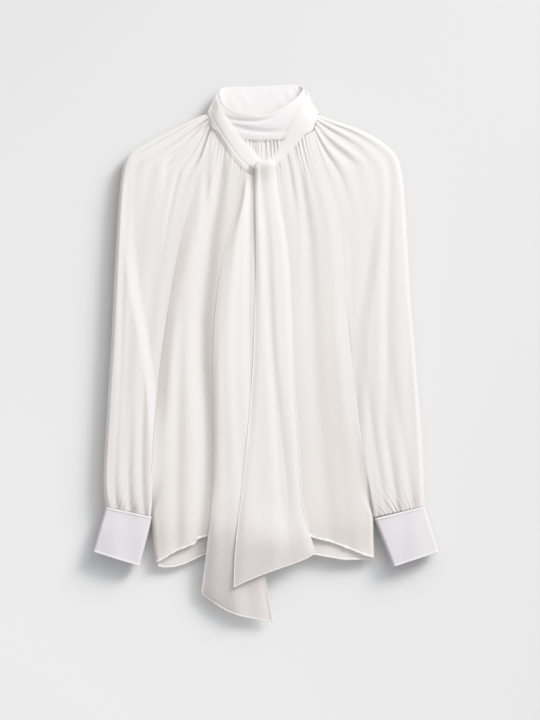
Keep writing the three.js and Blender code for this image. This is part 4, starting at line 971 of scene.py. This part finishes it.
# ---- Backdrop, light and camera
# A pale matt backdrop. The photograph's wide shadow shows that the blouse stood a little off it. One broad soft
# light from the upper right, a nearer soft box beside it that fades towards the lower left, and the room's light.
PICTURE_HEIGHT = 1.116         # what the picture shows from top to bottom, in metres
LENS, SENSOR = 135, 36
bpy.ops.object.select_all(action="DESELECT")
bpy.ops.mesh.primitive_plane_add(size=6, location=(0, 0, -STAND_OFF))
board = bpy.context.object
board.name = "backdrop"
board_paint = bpy.data.materials.new("backdrop_paint")
board_paint.use_nodes = True
nodes, links = board_paint.node_tree.nodes, board_paint.node_tree.links
shader = nodes["Principled BSDF"]
# painted shade: the backdrop is graded darker towards the upper right, where the soft box lights it most, so that
# it shows evenly bright
spot = nodes.new("ShaderNodeTexCoord")
turned = nodes.new("ShaderNodeMapping")
turned.inputs["Rotation"].default_value = (0, 0, math.radians(-52))
links.new(spot.outputs["Object"], turned.inputs["Vector"])
split = nodes.new("ShaderNodeSeparateXYZ")
links.new(turned.outputs["Vector"], split.inputs["Vector"])
graded = nodes.new("ShaderNodeMapRange")
graded.inputs["From Min"].default_value = -0.6
graded.inputs["From Max"].default_value = 0.6
links.new(split.outputs["X"], graded.inputs["Value"])
painted_shade_grade = nodes.new("ShaderNodeMix")
painted_shade_grade.data_type = "RGBA"
painted_shade_grade.inputs["A"].default_value = (0.818, 0.818, 0.818, 1)
painted_shade_grade.inputs["B"].default_value = (0.557, 0.557, 0.557, 1)
links.new(graded.outputs["Result"], painted_shade_grade.inputs["Factor"])
links.new(painted_shade_grade.outputs["Result"], shader.inputs["Base Color"])
shader.inputs["Roughness"].default_value = 0.9
shader.inputs["Specular IOR Level"].default_value = 0.1
board.data.materials.append(board_paint)

scene = bpy.context.scene
sun = bpy.data.lights.new("window", "SUN")
sun.energy = 2.25
sun.angle = math.radians(22)
sun.color = (1.0, 0.985, 0.96)
window = bpy.data.objects.new("window", sun)
scene.collection.objects.link(window)
elevation, azimuth = math.radians(27.5), math.radians(45)
window.rotation_euler = (0, math.pi / 2 - elevation, azimuth)

box = bpy.data.lights.new("soft_box", "AREA")
box.shape = "SQUARE"
box.size = 1.5
box.energy = 24
soft_box = bpy.data.objects.new("soft_box", box)
scene.collection.objects.link(soft_box)
soft_box.location = (0.9, 1.1, 1.1)
soft_box.rotation_euler = (soft_box.location - Vector((0.05, 0.1, 0))).to_track_quat("Z", "Y").to_euler()

world = bpy.data.worlds.new("studio")
scene.world = world
world.use_nodes = True
room = world.node_tree.nodes["Background"]
room.inputs["Color"].default_value = (0.97, 0.98, 1.0, 1)
room.inputs["Strength"].default_value = 0.56

lens = bpy.data.cameras.new("camera")
lens.lens = LENS
lens.sensor_width = SENSOR
camera = bpy.data.objects.new("camera", lens)
scene.collection.objects.link(camera)
camera.location = (0.0066, -0.0101, LENS / SENSOR * PICTURE_HEIGHT + 0.012)
scene.camera = camera

# a high-key exposure whose whites roll off before they clip, as in the photograph
view = scene.view_settings
view.view_transform = "Standard"
view.use_curve_mapping = True
tone = view.curve_mapping.curves[3]
tone.points[0].location = (0, 0)
tone.points[1].location = (1, 0.895)
tone.points.new(0.5, 0.51)
tone.points.new(0.8, 0.795)
view.curve_mapping.clip_max_x = 1.6
view.curve_mapping.clip_max_y = 1.0
view.curve_mapping.update()
